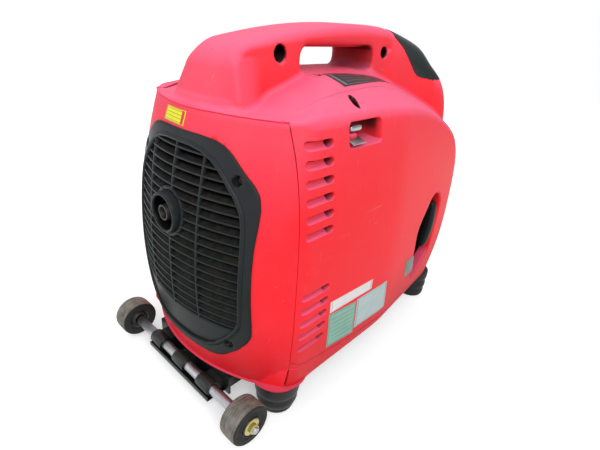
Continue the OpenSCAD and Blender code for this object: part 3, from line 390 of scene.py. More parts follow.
def effect(name, inputs, outputs):
    """A shader node group. Inputs are names with a kind and a value, outputs names with a kind. Returns
    the group, the sockets that bring its inputs, and the sockets that take its results."""
    group = bpy.data.node_groups.new(name, "ShaderNodeTree")
    for label, (kind, value) in inputs.items():
        socket = group.interface.new_socket(name=label, in_out="INPUT", socket_type="NodeSocket" + kind)
        if value is not None:
            socket.default_value = value
    for label, kind in outputs.items():
        group.interface.new_socket(name=label, in_out="OUTPUT", socket_type="NodeSocket" + kind)
    return group, group.nodes.new("NodeGroupInput").outputs, group.nodes.new("NodeGroupOutput").inputs


grain_group, given, results = effect(
    "mould_grain",
    {"Vector": ("Vector", None), "Grain Scale": ("Float", 900.0), "Patch Scale": ("Float", 7.0)},
    {"Grain": "Float", "Patch": "Float"})
fine_noise = noise_of(grain_group, given["Vector"], given["Grain Scale"], 2.0)
wavy_noise = noise_of(grain_group, given["Vector"], 38.0, 2.0)
patch_noise = noise_of(grain_group, given["Vector"], given["Patch Scale"], 4.0)
feed(grain_group, results["Grain"], math_of(grain_group, "MULTIPLY_ADD", wavy_noise, 1.4, fine_noise))
feed(grain_group, results["Patch"], band(grain_group, patch_noise, 0.32, 0.68))

scuff_group, given, results = effect(
    "scuffs",
    {"Vector": ("Vector", None), "Scale": ("Float", 1.0), "Amount": ("Float", 0.5)},
    {"Mask": "Float"})
# Each family of scratches has a turn in radians and a stretch. It runs along the smallest stretch.
scuff_ways = (((0.2, 0.5, 0.4), (26, 240, 240)),
              ((0.9, -0.4, 1.3), (210, 24, 210)),
              ((-0.5, 0.3, 2.2), (250, 200, 20)))
scuff_lines = 0.0
for turn_by, stretch in scuff_ways:
    scaled = add_node(scuff_group, "ShaderNodeVectorMath", operation="SCALE", Vector=given["Vector"],
                      Scale=given["Scale"])
    place = add_node(scuff_group, "ShaderNodeMapping", Vector=scaled.outputs[0], Rotation=turn_by,
                     Scale=stretch)
    family = band(scuff_group, noise_of(scuff_group, place.outputs[0], 1.0, 1.0), 0.70, 0.78)
    scuff_lines = math_of(scuff_group, "MAXIMUM", scuff_lines, family)
where = band(scuff_group, noise_of(scuff_group, given["Vector"], 16.0, 2.0), 0.48, 0.66)
mask = product(scuff_group, product(scuff_group, scuff_lines, where), given["Amount"], clamp=True)
feed(scuff_group, results["Mask"], mask)

dust_group, given, results = effect(
    "dust",
    {"Vector": ("Vector", None), "Normal": ("Vector", None), "Amount": ("Float", 0.3),
     "Clean": ("Color", None), "Dust": ("Color", None)},
    {"Color": "Color", "Mask": "Float"})
facing_up = band(dust_group, part_of(dust_group, given["Normal"], 2), -0.2, 1.0)
cloud = band(dust_group, noise_of(dust_group, given["Vector"], 30.0, 5.0, 0.65), 0.35, 0.75)
mask = product(dust_group, product(dust_group, facing_up, cloud), given["Amount"], clamp=True)
feed(dust_group, results["Color"], blend_of(dust_group, mask, given["Clean"], given["Dust"]))
feed(dust_group, results["Mask"], mask)
print("effects made:", len(bpy.data.node_groups))

# %% [markdown]
# ## From effects to a finish
# A finish could be a material drawn for each piece. One function does it for all of them: two near
# colours in patches, scuffs and dust over them, and the grain as a very low bump, so plastics and metals
# stay consistent.

# %% Material from the shared effects


def use(tree, group, **values):
    """Places a node group in a material and returns its outputs; inputs by name."""
    return add_node(tree, "ShaderNodeGroup", node_tree=group, **values).outputs


def surface(name, base, worn, rough, metal=0.0, grain=900.0, depth=0.02, patches=7.0, scuffs=0.3,
            scuff_color=None, dust=0.0, dust_color=(0.45, 0.42, 0.38), coat=0.0, specular=0.5, extra=None):
    """A material from the shared effects: base and worn colours in patches, scuffs, dust on top, and a
    fine bump whose depth is in millimetres. An extra function may change the colour before the dust
    settles."""
    made = bpy.data.materials.new(name)
    tree = add_tree(made)
    place = add_node(tree, "ShaderNodeTexCoord").outputs["Object"]
    normal = add_node(tree, "ShaderNodeNewGeometry").outputs["Normal"]
    grains = use(tree, grain_group, Vector=place, Grain_Scale=grain, Patch_Scale=patches)
    color = blend_of(tree, grains["Patch"], rgb(*base), rgb(*worn))
    roughness = math_of(tree, "MULTIPLY_ADD", grains["Patch"], rough[1] - rough[0], rough[0])
    if scuffs:
        marks = use(tree, scuff_group, Vector=place, Scale=1.0, Amount=scuffs)["Mask"]
        paler = scuff_color or [min(1, c * 1.5 + 0.05) for c in base]
        color = blend_of(tree, marks, color, rgb(*paler))
        roughness = math_of(tree, "MULTIPLY_ADD", marks, 0.25, roughness, clamp=True)
    if extra:
        color = extra(tree, place, normal, color)
    if dust:
        powder = use(tree, dust_group, Vector=place, Normal=normal, Amount=dust, Clean=color,
                     Dust=rgb(*dust_color))
        color = powder["Color"]
        roughness = math_of(tree, "MULTIPLY_ADD", powder["Mask"], 0.3, roughness, clamp=True)
    shader = add_node(tree, "ShaderNodeBsdfPrincipled", Base_Color=color, Roughness=roughness,
                      Metallic=metal, Specular_IOR_Level=specular)
    if coat:
        shader.inputs["Coat Weight"].default_value = coat
        shader.inputs["Coat Roughness"].default_value = 0.12
    if depth:
        bump = add_node(tree, "ShaderNodeBump", Strength=1.0, Distance=depth * mm, Height=grains["Grain"])
        tree.links.new(bump.outputs[0], shader.inputs["Normal"])
    add_node(tree, "ShaderNodeOutputMaterial", shader.outputs[0])
    return made


print("a finish blends:", [group.name for group in (grain_group, scuff_group, dust_group)])

# %% Colour of the covers, the black plastic and the treads


def red_with_painted_light(tree, place, normal, color):
    """The red of the covers with painted light: a paler, pinker painted sheen where it faces the sky or sits
    high, a deeper painted shade low down except on the corner leg, and painted black shade inside the
    louvres' holes and other recesses."""
    # Colours of painted light: a sky sheen, a sheen high up, a shade low down and black shade in holes.
    painted_sky_sheen_pink = rgb(0.98, 0.185, 0.390)
    painted_high_sheen_pink = rgb(0.98, 0.185, 0.260)
    painted_low_shade_red = rgb(0.50, 0.012, 0.020)
    painted_hole_shade_black = rgb(0.004, 0.003, 0.003)
    height = part_of(tree, place, 2)
    hollow = attribute_of(tree, "hollow")
    # Painted sheen: paler and pinker where the face looks up to the sky.
    painted_sky_sheen = product(tree, band(tree, part_of(tree, normal, 2), 0.12, 0.85), 0.60)
    color = blend_of(tree, painted_sky_sheen, color, painted_sky_sheen_pink)
    # Painted sheen: pinker on the high part of the housing.
    color = blend_of(tree, product(tree, band(tree, height, 0.27, 0.40), 0.16), color, painted_high_sheen_pink)
    # Painted shade low down, kept off the corner legs where the point value is negative.
    off_leg = math_of(tree, "MULTIPLY_ADD", hollow, 2.0, 1.0, clamp=True)
    painted_low_shade = product(tree, band(tree, height, 0.15, 0.06), off_leg, 0.55)
    color = blend_of(tree, painted_low_shade, color, painted_low_shade_red)
    # Painted shade: black where the point value marks a hole, pit, seam or recess.
    return blend_of(tree, hollow, color, painted_hole_shade_black)


def black_with_painted_light(tree, place, normal, color):
    """Black plastic with painted light: greyer high up as a painted sheen, a mottled painted shade on the
    inner part of the grille's blades, and painted black shade deep inside its recesses."""
    height = part_of(tree, place, 2)
    # Painted sheen: greyer high up.
    painted_high_sheen = product(tree, band(tree, height, 0.18, 0.31), 0.8)
    color = blend_of(tree, painted_high_sheen, color, rgb(0.021, 0.022, 0.025))
    # Mottle within the painted shade on the inner part of the blades.
    soot = band(tree, noise_of(tree, place, 160.0, 4.0, 0.7), 0.35, 0.7)
    painted_inner_shade = blend_of(tree, soot, rgb(0.006, 0.006, 0.006), rgb(0.026, 0.024, 0.021))
    color = blend_of(tree, attribute_of(tree, "inner"), color, painted_inner_shade)
    # Painted shade: black deep inside recesses.
    return blend_of(tree, attribute_of(tree, "hollow"), color, rgb(0.001, 0.001, 0.001))


def worn_tread(tree, place, normal, color):
    """Grey-brown wear on the running face of a tyre: where the normal turns away from the axle's
    direction."""
    sideways = math_of(tree, "ABSOLUTE", part_of(tree, normal, 1))
    tread = band(tree, sideways, 0.62, 0.30)
    streak = add_node(tree, "ShaderNodeMapping", Vector=place, Scale=(60, 700, 60)).outputs[0]
    streaks = noise_of(tree, streak, 1.0, 3.0, 0.6)
    coarse = noise_of(tree, place, 70.0, 3.0, 0.6)
    mottled = band(tree, math_of(tree, "ADD", streaks, coarse), 0.75, 1.15)
    mix = product(tree, tread, mottled, clamp=True)
    wear = math_of(tree, "MULTIPLY_ADD", mix, 0.7, product(tree, tread, 0.25), clamp=True)
    return blend_of(tree, wear, color, rgb(0.235, 0.212, 0.178))


print("a finish may add:", [extra.__name__ for extra in (red_with_painted_light, black_with_painted_light, worn_tread)])

# %% [markdown]
# ## The finishes of this machine
# Each row is one real finish: a base colour, the colour of its worn patches and a range of roughness. The
# red is nearly matt and the hood is glossier; zinc, steel and alloy are metals and differ in tint and
# roughness.

# %% Finishes
finishes = {
    "red_plastic": surface(
        "red_moulding", (0.92, 0.019, 0.029), (0.97, 0.027, 0.040), (0.42, 0.50), specular=0.12, depth=0.012,
        patches=5.0, scuffs=0.35, scuff_color=(0.95, 0.24, 0.22), dust=0.10, dust_color=(0.62, 0.30, 0.26),
        extra=red_with_painted_light),
    "black_plastic": surface(
        "green_black_moulding", (0.0045, 0.0095, 0.0084), (0.007, 0.013, 0.0118), (0.36, 0.46),
        specular=0.18, depth=0.014, scuffs=0.12, dust=0.03, extra=black_with_painted_light),
    "black_gloss": surface(
        "gloss_black_hood", (0.013, 0.019, 0.0185), (0.019, 0.026, 0.025), (0.24, 0.30), specular=0.34,
        depth=0.006, scuffs=0.10),
    "panel_plastic": surface(
        "panel_charcoal", (0.030, 0.032, 0.034), (0.040, 0.042, 0.044), (0.45, 0.55), dust=0.1),
    "white_plastic": surface(
        "white_button", (0.72, 0.71, 0.67), (0.80, 0.79, 0.75), (0.3, 0.4), depth=0.01, dust=0.1),
    "green_lens": surface(
        "lamp_lens", (0.10, 0.42, 0.14), (0.14, 0.55, 0.18), (0.12, 0.2), depth=0.004, scuffs=0.1, coat=0.6),
    "yellow_plastic": surface(
        "yellow_cap", (0.75, 0.48, 0.03), (0.85, 0.58, 0.05), (0.35, 0.45), depth=0.015, dust=0.2),
    "rubber": surface(
        "moulded_rubber", (0.006, 0.0085, 0.0075), (0.011, 0.014, 0.0125), (0.42, 0.55), specular=0.32,
        depth=0.03, grain=600, scuffs=0.15, dust=0.06),
    "tyre": surface(
        "worn_tyre", (0.012, 0.013, 0.012), (0.016, 0.017, 0.016), (0.6, 0.75), specular=0.4, depth=0.05,
        grain=420, patches=32.0, scuff_color=(0.10, 0.09, 0.08), extra=worn_tread),
    "hub_grey": surface(
        "wheel_hub", (0.007, 0.010, 0.009), (0.012, 0.014, 0.013), (0.38, 0.48), specular=0.45, dust=0.05),
    "zinc_steel": surface(
        "zinc_plate", (0.40, 0.41, 0.42), (0.56, 0.57, 0.58), (0.34, 0.48), metal=1.0, depth=0.012,
        patches=45.0, scuffs=0.4, scuff_color=(0.82, 0.82, 0.80)),
    "yellow_zinc": surface(
        "yellow_zinc_plate", (0.42, 0.42, 0.14), (0.66, 0.58, 0.26), (0.28, 0.40), metal=1.0, depth=0.012,
        patches=70.0),
    "steel": surface(
        "plain_steel", (0.30, 0.30, 0.29), (0.42, 0.41, 0.39), (0.38, 0.52), metal=1.0, patches=20.0),
    "black_steel": surface(
        "painted_steel", (0.006, 0.008, 0.008), (0.011, 0.013, 0.013), (0.30, 0.40), specular=0.45,
        depth=0.014, scuffs=0.35, scuff_color=(0.09, 0.09, 0.09), dust=0.04),
    "cast_alloy": surface(
        "cast_alloy", (0.36, 0.36, 0.355), (0.48, 0.48, 0.47), (0.45, 0.6), metal=0.85, depth=0.06,
        grain=500, patches=18.0),
    "copper_winding": surface(
        "lacquered_winding", (0.34, 0.13, 0.045), (0.46, 0.20, 0.08), (0.3, 0.4), metal=0.5, depth=0.05,
        grain=350),
    "soot": surface(
        "sooty_steel", (0.030, 0.027, 0.024), (0.075, 0.068, 0.060), (0.45, 0.6), metal=0.8, depth=0.03,
        patches=30.0),
    "rope": surface(
        "braided_rope", (0.50, 0.49, 0.44), (0.62, 0.61, 0.56), (0.8, 0.9), depth=0.15, grain=500),
}
print("finishes:", len(finishes))

# %% [markdown]
# ## The housing as one smooth form
# The real covers were drawn as a few large curved faces with rounded meetings. The same is done here:
# each face is a signed distance, negative inside, and two faces meet in a fillet of a named radius. Every
# cover is then a piece of the one surface where the distance is zero, so neighbours match at their seams
# without any fitting.

# %% Rounded meetings


def meet(a, b, r):
    """Inside both forms, with a fillet of radius r along the edge: the larger distance, or inside the
    last r the distance to a circle of radius r."""
    ua, ub = np.maximum(a + r, 0), np.maximum(b + r, 0)
    return np.minimum(-r, np.maximum(a, b)) + np.sqrt(ua * ua + ub * ub)


def join(a, b, r):
    """Inside either form, with a cove of radius r where they run together."""
    return -meet(-a, -b, r)


def cut(a, b, r):
    """Inside a but outside b, with a rounded lip of radius r."""
    return meet(a, -b, r)


def box2(u, v, u0, u1, v0, v1, r):
    """Distance to a rectangle from (u0, v0) to (u1, v1) with corners of radius r."""
    du = np.abs(u - (u0 + u1) / 2) - (u1 - u0) / 2 + r
    dv = np.abs(v - (v0 + v1) / 2) - (v1 - v0) / 2 + r
    return np.hypot(np.maximum(du, 0), np.maximum(dv, 0)) + np.minimum(np.maximum(du, dv), 0) - r


def smooth01(t):
    """0 below 0, 1 above 1, and an S-curve between: 3 t squared less 2 t cubed."""
    t = np.clip(t, 0, 1)
    return t * t * (3 - 2 * t)


print("a fillet of 10 mm takes", round(float(meet(0.0, 0.0, 10)), 2), "mm off a square corner")

# %% [markdown]
# ## The lower housing
# The lower housing could be a box with bevels, but its walls bulge, taper to the front and roll over into
# a round roof. So each wall is an arc of a large circle, and the deck behind the handle is a height that
# changes along X.

# %% Lower housing
half_width = 149.0
waist_z = 177.0
wall_arc = 1050.0
wall_axis = wall_arc - half_width
taper_angle = math.radians(6.8)
rear_arc = 600.0
rear_waist_z = 173
rear_plan = 358
nose_z = 215
nose_arc = 152
nose_flat = 90
front_arc = 450
front_plan = 208
roof_arc = 250
roof_axis_z = -105
seat_x = -65
far_inside = -60.0
deck_x = np.linspace(-320, 320, 1281)
deck_end = -64
deck_stations = [-320, -185, -150, -120, -90, -65, deck_end, 320]
deck_heights = [362, 362, 370, 379, 390, 400, 430, 560]
deck_line = np.interp(deck_x, deck_stations, deck_heights)
deck_line[deck_x > deck_end] = 430 + (deck_x[deck_x > deck_end] - deck_end) * 3
kernel = np.hanning(33) / np.hanning(33).sum()
deck_line = np.convolve(np.pad(deck_line, 16, mode="edge"), kernel, "valid")
deck_slope = np.gradient(deck_line, deck_x)


print("deck rises from", round(float(deck_line[0]), 1), "mm")

# %% Faces of the lower housing


def rear_x(y, z):
    """X of the rear face: an arc in plan, whose radius follows an upright arc of radius 600."""
    rho = -rear_plan + np.sqrt(rear_arc**2 - (z - rear_waist_z) ** 2)
    return -8 - np.sqrt(rho**2 - y**2)


def end_faces(x, y, z):
    """Distances to the rear face and to the front face. Each is far inside on the other half of the
    housing."""
    rear = np.hypot(np.hypot(np.minimum(x + 8, 0), y) + rear_plan, z - rear_waist_z) - rear_arc
    rear = np.where(x > -8, far_inside, np.maximum(rear, far_inside))
    rho = np.hypot(np.maximum(x - 8, 0), y)
    nose = np.hypot(np.maximum(rho - nose_flat, 0), z - nose_z) - nose_arc - np.maximum(98 - x, 0) * 0.5
    front = np.where(z > nose_z, nose, np.hypot(rho + front_plan, z - nose_z) - front_arc)
    front = np.where(x < 8, far_inside, np.maximum(front, far_inside))
    return rear, front


def side_faces(x, w, z):
    """Distance to the side wall at the width w: the nearer of an upright wall and one that tapers to the
    front, both arcs of radius 1050 about the waist."""
    upright = np.hypot(w + wall_axis, z - waist_z) - wall_arc
    turned_in = (x + 9) * math.sin(taper_angle) + (w - half_width) * math.cos(taper_angle)
    tapered = np.hypot(turned_in + wall_arc, z - waist_z) - wall_arc
    return meet(upright, tapered, 2.0)


def housing(x, y, z):
    """Distance to the lower housing: rear and front faces, two side walls that taper, four chamfered
    corners, a cylindrical roof that falls to the front, and the flat deck behind the handle."""
    w = np.abs(y)
    rear, front = end_faces(x, y, z)
    corner_w = w - 149.5
    lean = 0.00085 * np.maximum(z - 270, 0) ** 2
    rear_corner = ((x + 191) * -45 + corner_w * 71) / 84.06 + lean
    front_corner = ((x - 174) * 62 + corner_w * 88) / 107.65
    rear_walls = meet(meet(side_faces(x, w, z), rear_corner, 10), rear, 10)
    walls = meet(rear_walls, meet(front_corner, front, 12), 12)
    fall = np.where(x < seat_x, z - roof_axis_z, np.hypot(x - seat_x, z - roof_axis_z))
    roof = np.hypot(fall - 255, y) - roof_arc
    deck = (z - np.interp(x, deck_x, deck_line)) / np.sqrt(1 + np.interp(x, deck_x, deck_slope) ** 2)
    return meet(meet(walls, roof, 6), deck, 4)


print("rear face at its waist, x =", round(float(rear_x(0.0, rear_waist_z)), 1))

# %% [markdown]
# ## The handle, the head and the whole body
# The spine is a crowned bar that runs into a rounded head over the panel. Both are made like the housing
# and run together with it in coves, and the hand opening is taken out last so that its lip is rounded all
# round.

# %% Handle, head and body


top_z = 446
crown_x = 25
crown_arc = 900
bar_half = 38
ball_x = 117
ball_z = 300
ball_r = 127
cove_r = 75


def hand_gap(x, y, z):
    """The hand opening: a rounded rectangle seen from the side, as wide as the handle."""
    return np.maximum(box2(x, z, -88, 46, 393, 419, 11), np.abs(y) - 52)


def handle(x, y, z):
    """The spine: crowned along its top, with a leaning rear end that is bowed in plan and widens towards
    its base."""
    crown = np.hypot(x - crown_x, z - (top_z - crown_arc)) - crown_arc
    flare = np.clip(0.46 * (411 - z), 0, 23) * smooth01((-138 - x) / 45)
    sides = (np.abs(y) - bar_half - flare) * 0.9
    sag = 105 - np.sqrt(105.0**2 - np.minimum(y * y, 6400))
    end = -0.915 * (x - sag + 198.7) + 0.402 * (np.maximum(z, 370) - 399)
    slope = ((x - 96) * 35 + (z - 443) * 81) / 88.2
    edge = 4 + 12 * smooth01((z - 398) / 34)
    bar = meet(meet(meet(crown, end, 19), sides, edge), slope, 8)
    return meet(bar, x - 180, 20)


def head(x, y, z):
    """The head: a ball of radius 127 between two coves that widen from the handle to 172 mm."""
    ball = np.sqrt((x - ball_x) ** 2 + y**2 + (z - ball_z) ** 2) - ball_r
    w = np.abs(y)
    cove = cove_r - np.hypot(x - 110, w - 113)
    inner = meet(ball, cove, 17)
    return meet(meet(inner, w - 86, 14), meet(98 - x, 240 - z, 4), 4)


def body(x, y, z):
    """The whole red body: housing, spine and head run together in coves, less the hand opening."""
    top = join(handle(x, y, z), head(x, y, z), 26)
    foot = 6 + 7 * smooth01((x + 20) / 60) + 7 * smooth01((-190 - x) / 15)
    return cut(join(housing(x, y, z), top, foot), hand_gap(x, y, z), 11)


crown_gap = float(body(np.array(float(crown_x)), np.array(0.0), np.array(float(top_z))))
print("body at the handle's crown, mm off the surface:", round(crown_gap, 3))

# %% [markdown]
# ## Finding the surface
# A form only says how far away the surface is. Two tools turn that into points on it: one slides points
# along the steepest way to the surface, and the other walks back along rays until they meet it.

# %% Points on a form


def rise_of(form, p, e):
    """How much a form grows over twice e millimetres in X, Y and Z, from neighbours on both sides."""
    along_x = form(p[..., 0] + e, p[..., 1], p[..., 2]) - form(p[..., 0] - e, p[..., 1], p[..., 2])
    along_y = form(p[..., 0], p[..., 1] + e, p[..., 2]) - form(p[..., 0], p[..., 1] - e, p[..., 2])
    along_z = form(p[..., 0], p[..., 1], p[..., 2] + e) - form(p[..., 0], p[..., 1], p[..., 2] - e)
    return np.stack([along_x, along_y, along_z], -1)


def normals_of(form, p):
    """Unit normals of a form at points: the rise over a tenth of a millimetre each way, divided by its
    length."""
    g = rise_of(form, p, 0.1)
    return g / np.maximum(np.linalg.norm(g, axis=-1, keepdims=True), 1e-6)


def onto(form, points, steps=4):
    """Moves points to the form's surface: each Newton step is the distance times the gradient, over the
    gradient's squared length, and at most 3 mm of distance at a time."""
    p = np.array(points, float)
    e = 0.05
    for _ in range(steps):
        d = form(*np.moveaxis(p, -1, 0))
        g = rise_of(form, p, e) / (2 * e)
        size = np.maximum((g * g).sum(-1, keepdims=True), 0.05)
        p -= np.clip(d, -3, 3)[..., None] * g / size
    return p


def shoot(form, origin, aim, far, steps=60):
    """Where rays from the origins first meet the form when they are walked back from the far end: each
    step goes inwards by 0.85 of the distance, so nothing is passed over."""
    t = np.full(np.broadcast(origin[..., 0], aim[..., 0]).shape, float(far))
    for _ in range(steps):
        p = origin + aim * t[..., None]
        t = np.maximum(t - form(p[..., 0], p[..., 1], p[..., 2]) * 0.85, 0)
    return origin + aim * t[..., None]


def wall_y(x, z):
    """The near side wall's Y at (x, z): a ray straight out along -Y."""
    x, z = np.broadcast_arrays(x, z)
    start = np.stack([x, np.zeros_like(x), z], -1).astype(float)
    return shoot(body, start, np.broadcast_to([0, -1.0, 0], start.shape), 170, 40)[..., 1]


print("near wall at its waist, y =", round(float(wall_y(np.array(-60.0), np.array(waist_z))), 2))

# %% [markdown]
# ## Seams and zones
# The covers meet along fixed seams. Each seam is written once as a function, and every cover is cut or
# fitted by that same function, so two covers never disagree on where they meet.

# %% Seams between the covers
seam_stations = [-186, -150, -116, -94, -58, 0, 300]
seam_widths = [103.5, 102, 101, 98.5, 96, 89, 86]
cover_top = 357
overlap = 1e-3
front_seam_x = 205
front_seam_z = 285
hole_z = 413.2
rear_hole_x = -125.0
front_hole_x = 74.0
rear_hole_r = 8.8
front_hole_r = 7.6
pit_floor_y = 23
pit_mouth_y = 41.5


def seam_half(x):
    """Half the distance between the two shoulder seams: 103.5 mm at the rear, drawing in to 86 mm."""
    return np.interp(x, seam_stations, seam_widths)


def seam_x(z):
    """The upright seam between rear and side covers: straight low down, and leaning forwards by 8 mm at
    the top."""
    return -194 + 8 * (np.maximum(z - 160, 0) / 200) ** 2


def top_zone(x, y, z):
    """Positive inside the zone of the two top halves: between the shoulder seams, and above both end
    covers."""
    w = np.abs(y)
    rear_seam_x = seam_x(360)
    middle = np.minimum(np.minimum(x - rear_seam_x, front_seam_x - x), np.minimum(seam_half(x) - w, z - 200))
    back = np.minimum(rear_seam_x - x + overlap, z - cover_top)
    front = np.minimum(x - front_seam_x + overlap, z - front_seam_z)
    return np.maximum(np.maximum(middle, back), front)


print("upright seam, top and foot, x =", seam_x(cover_top).round(1), seam_x(54).round(1))

# %% The top's own form and the hood's edge


def screw_pits(x, y, z):
    """The two screw holes in each side of the handle: a round pit, and a scoop that starts at the pit's
    mouth, runs a short way along (ax, az) and narrows as it goes."""
    w = np.abs(y)
    pits = 1e3
    holes = ((rear_hole_x, rear_hole_r, 0.5, -0.86, 5), (front_hole_x, front_hole_r, 0.8, 0.6, 10))
    for px, r, ax, az, far in holes:
        pit = np.maximum(np.hypot(x - px, z - hole_z) - r, pit_floor_y - w)
        way = np.clip((x - px) * ax + (z - hole_z) * az, 0, far)
        across, up, out = x - px - way * ax, z - hole_z - way * az, w - pit_mouth_y
        scoop = np.sqrt(across**2 + up**2 + out**2) - r + way * 0.25
        pits = np.minimum(pits, np.minimum(pit, scoop))
    return pits


def top_form(x, y, z):
    """The body with the top halves' own surface sunk by 1.4 mm along the shoulder seams, under the side
    covers' lip."""
    reach = seam_half(x) - np.abs(y)
    sunk = 1.4 * np.exp(-np.maximum(reach, 0) / 10) * smooth01((x + 189) / 12) * smooth01((60 - x) / 80)
    return cut(body(x, y, z) + sunk, screw_pits(x, y, z), 0.8)


def hood_edge(x, z):
    """Positive where the black hood covers the head, in side view: past a curved rear edge and above a
    level one."""
    line_x = np.interp(z, [376, 380, 385, 401, 420, 432, 446], [172, 152, 145, 131, 114, 96, 92])
    return np.minimum((x - line_x) * 0.8, z - 377)


print("shoulder seams, mm apart:", 2 * seam_widths[0], "to", 2 * seam_widths[-1])

# %% [markdown]
# ## The two top halves
# The deck, shoulders, handle and head have a hole through them, so no single sheet of rays covers them.
# Their surface is found in a fine lattice instead: wherever the distance changes sign inside a cell, one
# point goes there, and it is then moved exactly onto the form. The mesh is trimmed along the shoulder
# seams.

# %% Lattice surface


def cell_points(value, cells):
    """One point per cell: the mean of the spots where the cell's 12 edges cross zero, in steps of the
    lattice."""
    total, hits = np.zeros((len(cells), 3)), np.zeros(len(cells))
    for one in np.ndindex(2, 2, 2):
        for axis in range(3):
            if one[axis]:
                continue
            two = list(one)
            two[axis] = 1
            va = value[tuple((cells + one).T)]
            vb = value[tuple((cells + two).T)]
            crossed = (va < 0) != (vb < 0)
            t = np.where(crossed, va / np.where(crossed, va - vb, 1), 0)
            spot = cells + np.array(one, float)
            spot[:, axis] += t
            total += spot * crossed[:, None]
            hits += crossed
    return total / hits[:, None]


def edge_quads(inside, number, n, axis):
    """A quad round every lattice edge along one axis whose ends lie on different sides of the form,
    joining the points of the four cells that share the edge and facing outwards."""
    u, v = (axis + 1) % 3, (axis + 2) % 3
    first, second = [slice(None)] * 3, [slice(None)] * 3
    first[axis], second[axis] = slice(0, -1), slice(1, None)
    changes = np.argwhere(inside[tuple(first)] != inside[tuple(second)])
    whole = (changes[:, u] > 0) & (changes[:, v] > 0) & (changes[:, u] < n[u]) & (changes[:, v] < n[v])
    changes = changes[whole]
    outward = inside[tuple(changes.T)]
    ring = []
    for du, dv in ((-1, -1), (0, -1), (0, 0), (-1, 0)):
        cell = changes.copy()
        cell[:, u] += du
        cell[:, v] += dv
        ring.append(number[tuple(cell.T)])
    ring = np.stack(ring, 1)
    ring[~outward] = ring[~outward][:, ::-1]
    return ring


def lattice_surface(form, low, high, step):
    """Points and quads of the form's surface between two corners, from its values on a lattice."""
    axes = [np.arange(low[i], high[i] + step, step) for i in range(3)]
    value = form(*np.meshgrid(*axes, indexing="ij"))
    inside = value < 0
    n = np.array(value.shape) - 1
    corners = [inside[a:n[0] + a, b:n[1] + b, c:n[2] + c] for a, b, c in np.ndindex(2, 2, 2)]
    count = sum(corner.astype(np.int8) for corner in corners)
    cells = np.argwhere((count > 0) & (count < 8))
    number = np.full(n, -1, np.int64)
    number[tuple(cells.T)] = np.arange(len(cells))
    points = onto(form, cell_points(value, cells) * step + np.array([a[0] for a in axes]), 3)
    return points, np.vstack([edge_quads(inside, number, n, axis) for axis in range(3)])


step = 2.0
lattice_points, lattice_quads = lattice_surface(top_form, (-226, -130, 282), (248, 2.2, 450), step)
print("lattice of", step, "mm:", len(lattice_quads), "quads")

# %% Trimming along the seams


def trim(points, quads, keep):
    """Keeps the part of a mesh where keep is positive. Crossed triangles are cut where keep, taken as
    linear along each edge, is zero."""
    tris = halved(quads)
    s = keep(*points.T)
    s = np.where(np.abs(s) < 1e-6, 1e-6, s)
    sign = s[tris] > 0
    made, faces, start = [points], [tris[sign.all(1)]], len(points)
    for kept in (1, 2):
        mixed = tris[sign.sum(1) == kept]
        signs = s[mixed] > 0
        odd = np.argmax(signs, 1) if kept == 1 else np.argmin(signs, 1)
        a, b, c = (mixed[np.arange(len(mixed)), (odd + k) % 3] for k in range(3))
        ab = points[a] + (points[b] - points[a]) * (s[a] / (s[a] - s[b]))[:, None]
        ac = points[a] + (points[c] - points[a]) * (s[a] / (s[a] - s[c]))[:, None]
        i, j = start + np.arange(len(mixed)), start + len(mixed) + np.arange(len(mixed))
        made += [ab, ac]
        start += 2 * len(mixed)
        faces += [np.stack([a, i, j], 1)] if kept == 1 else [np.stack([i, b, c], 1), np.stack([i, c, j], 1)]
    return np.vstack(made), np.vstack(faces)


def weld(points, faces):
    """Joins points that lie within a hundredth of a millimetre, and drops faces that lose their area."""
    key, back = np.unique(np.round(points * 100).astype(np.int64), axis=0, return_inverse=True)
    back = back.ravel()
    first = np.zeros(len(key), np.int64)
    first[back[::-1]] = np.arange(len(points))[::-1]
    faces = back[faces]
    good = (faces[:, 0] != faces[:, 1]) & (faces[:, 1] != faces[:, 2]) & (faces[:, 2] != faces[:, 0])
    return points[first], faces[good]


def near_part(side_of_hood):
    """The near half of the top zone, before the hood's edge (-1) or past it (1), welded after its
    trim."""

    def keep(x, y, z):
        return np.minimum(np.minimum(top_zone(x, y, z), -y), side_of_hood * hood_edge(x, z))

    return weld(*trim(lattice_points, lattice_quads, keep))


red_points, red_faces = near_part(-1)
hood_points, hood_faces = near_part(1)
print("top half:", len(red_faces), "triangles; hood half:", len(hood_faces))

# %% [markdown]
# ## Skins with a lip
# A cover is a skin whose wall shows only at its seams. A full inner skin would double the mesh for
# nothing, so only the open rim is turned inwards, and the shade inside deep holes is a value at each
# point.

# %% Top halves and hood
mirror = [1, -1, 1]


def lips(piece, depth=3.0, soft=0.0):
    """Turns the open edges of a skin inwards, so that each cover shows its wall at a seam. A small bevel
    rounds the edge where the real cover has a visible parting line."""
    wall = piece.modifiers.new("wall", "SOLIDIFY")
    wall.thickness = depth * mm
    wall.offset = -1
    wall.use_rim_only = True
    if soft:
        edge = piece.modifiers.new("soft_edge", "BEVEL")
        edge.width = soft * mm
        edge.segments = 2
        edge.limit_method = "ANGLE"
        edge.angle_limit = math.radians(50)
    else:
        split = piece.modifiers.new("crisp_edge", "EDGE_SPLIT")
        split.split_angle = math.radians(50)


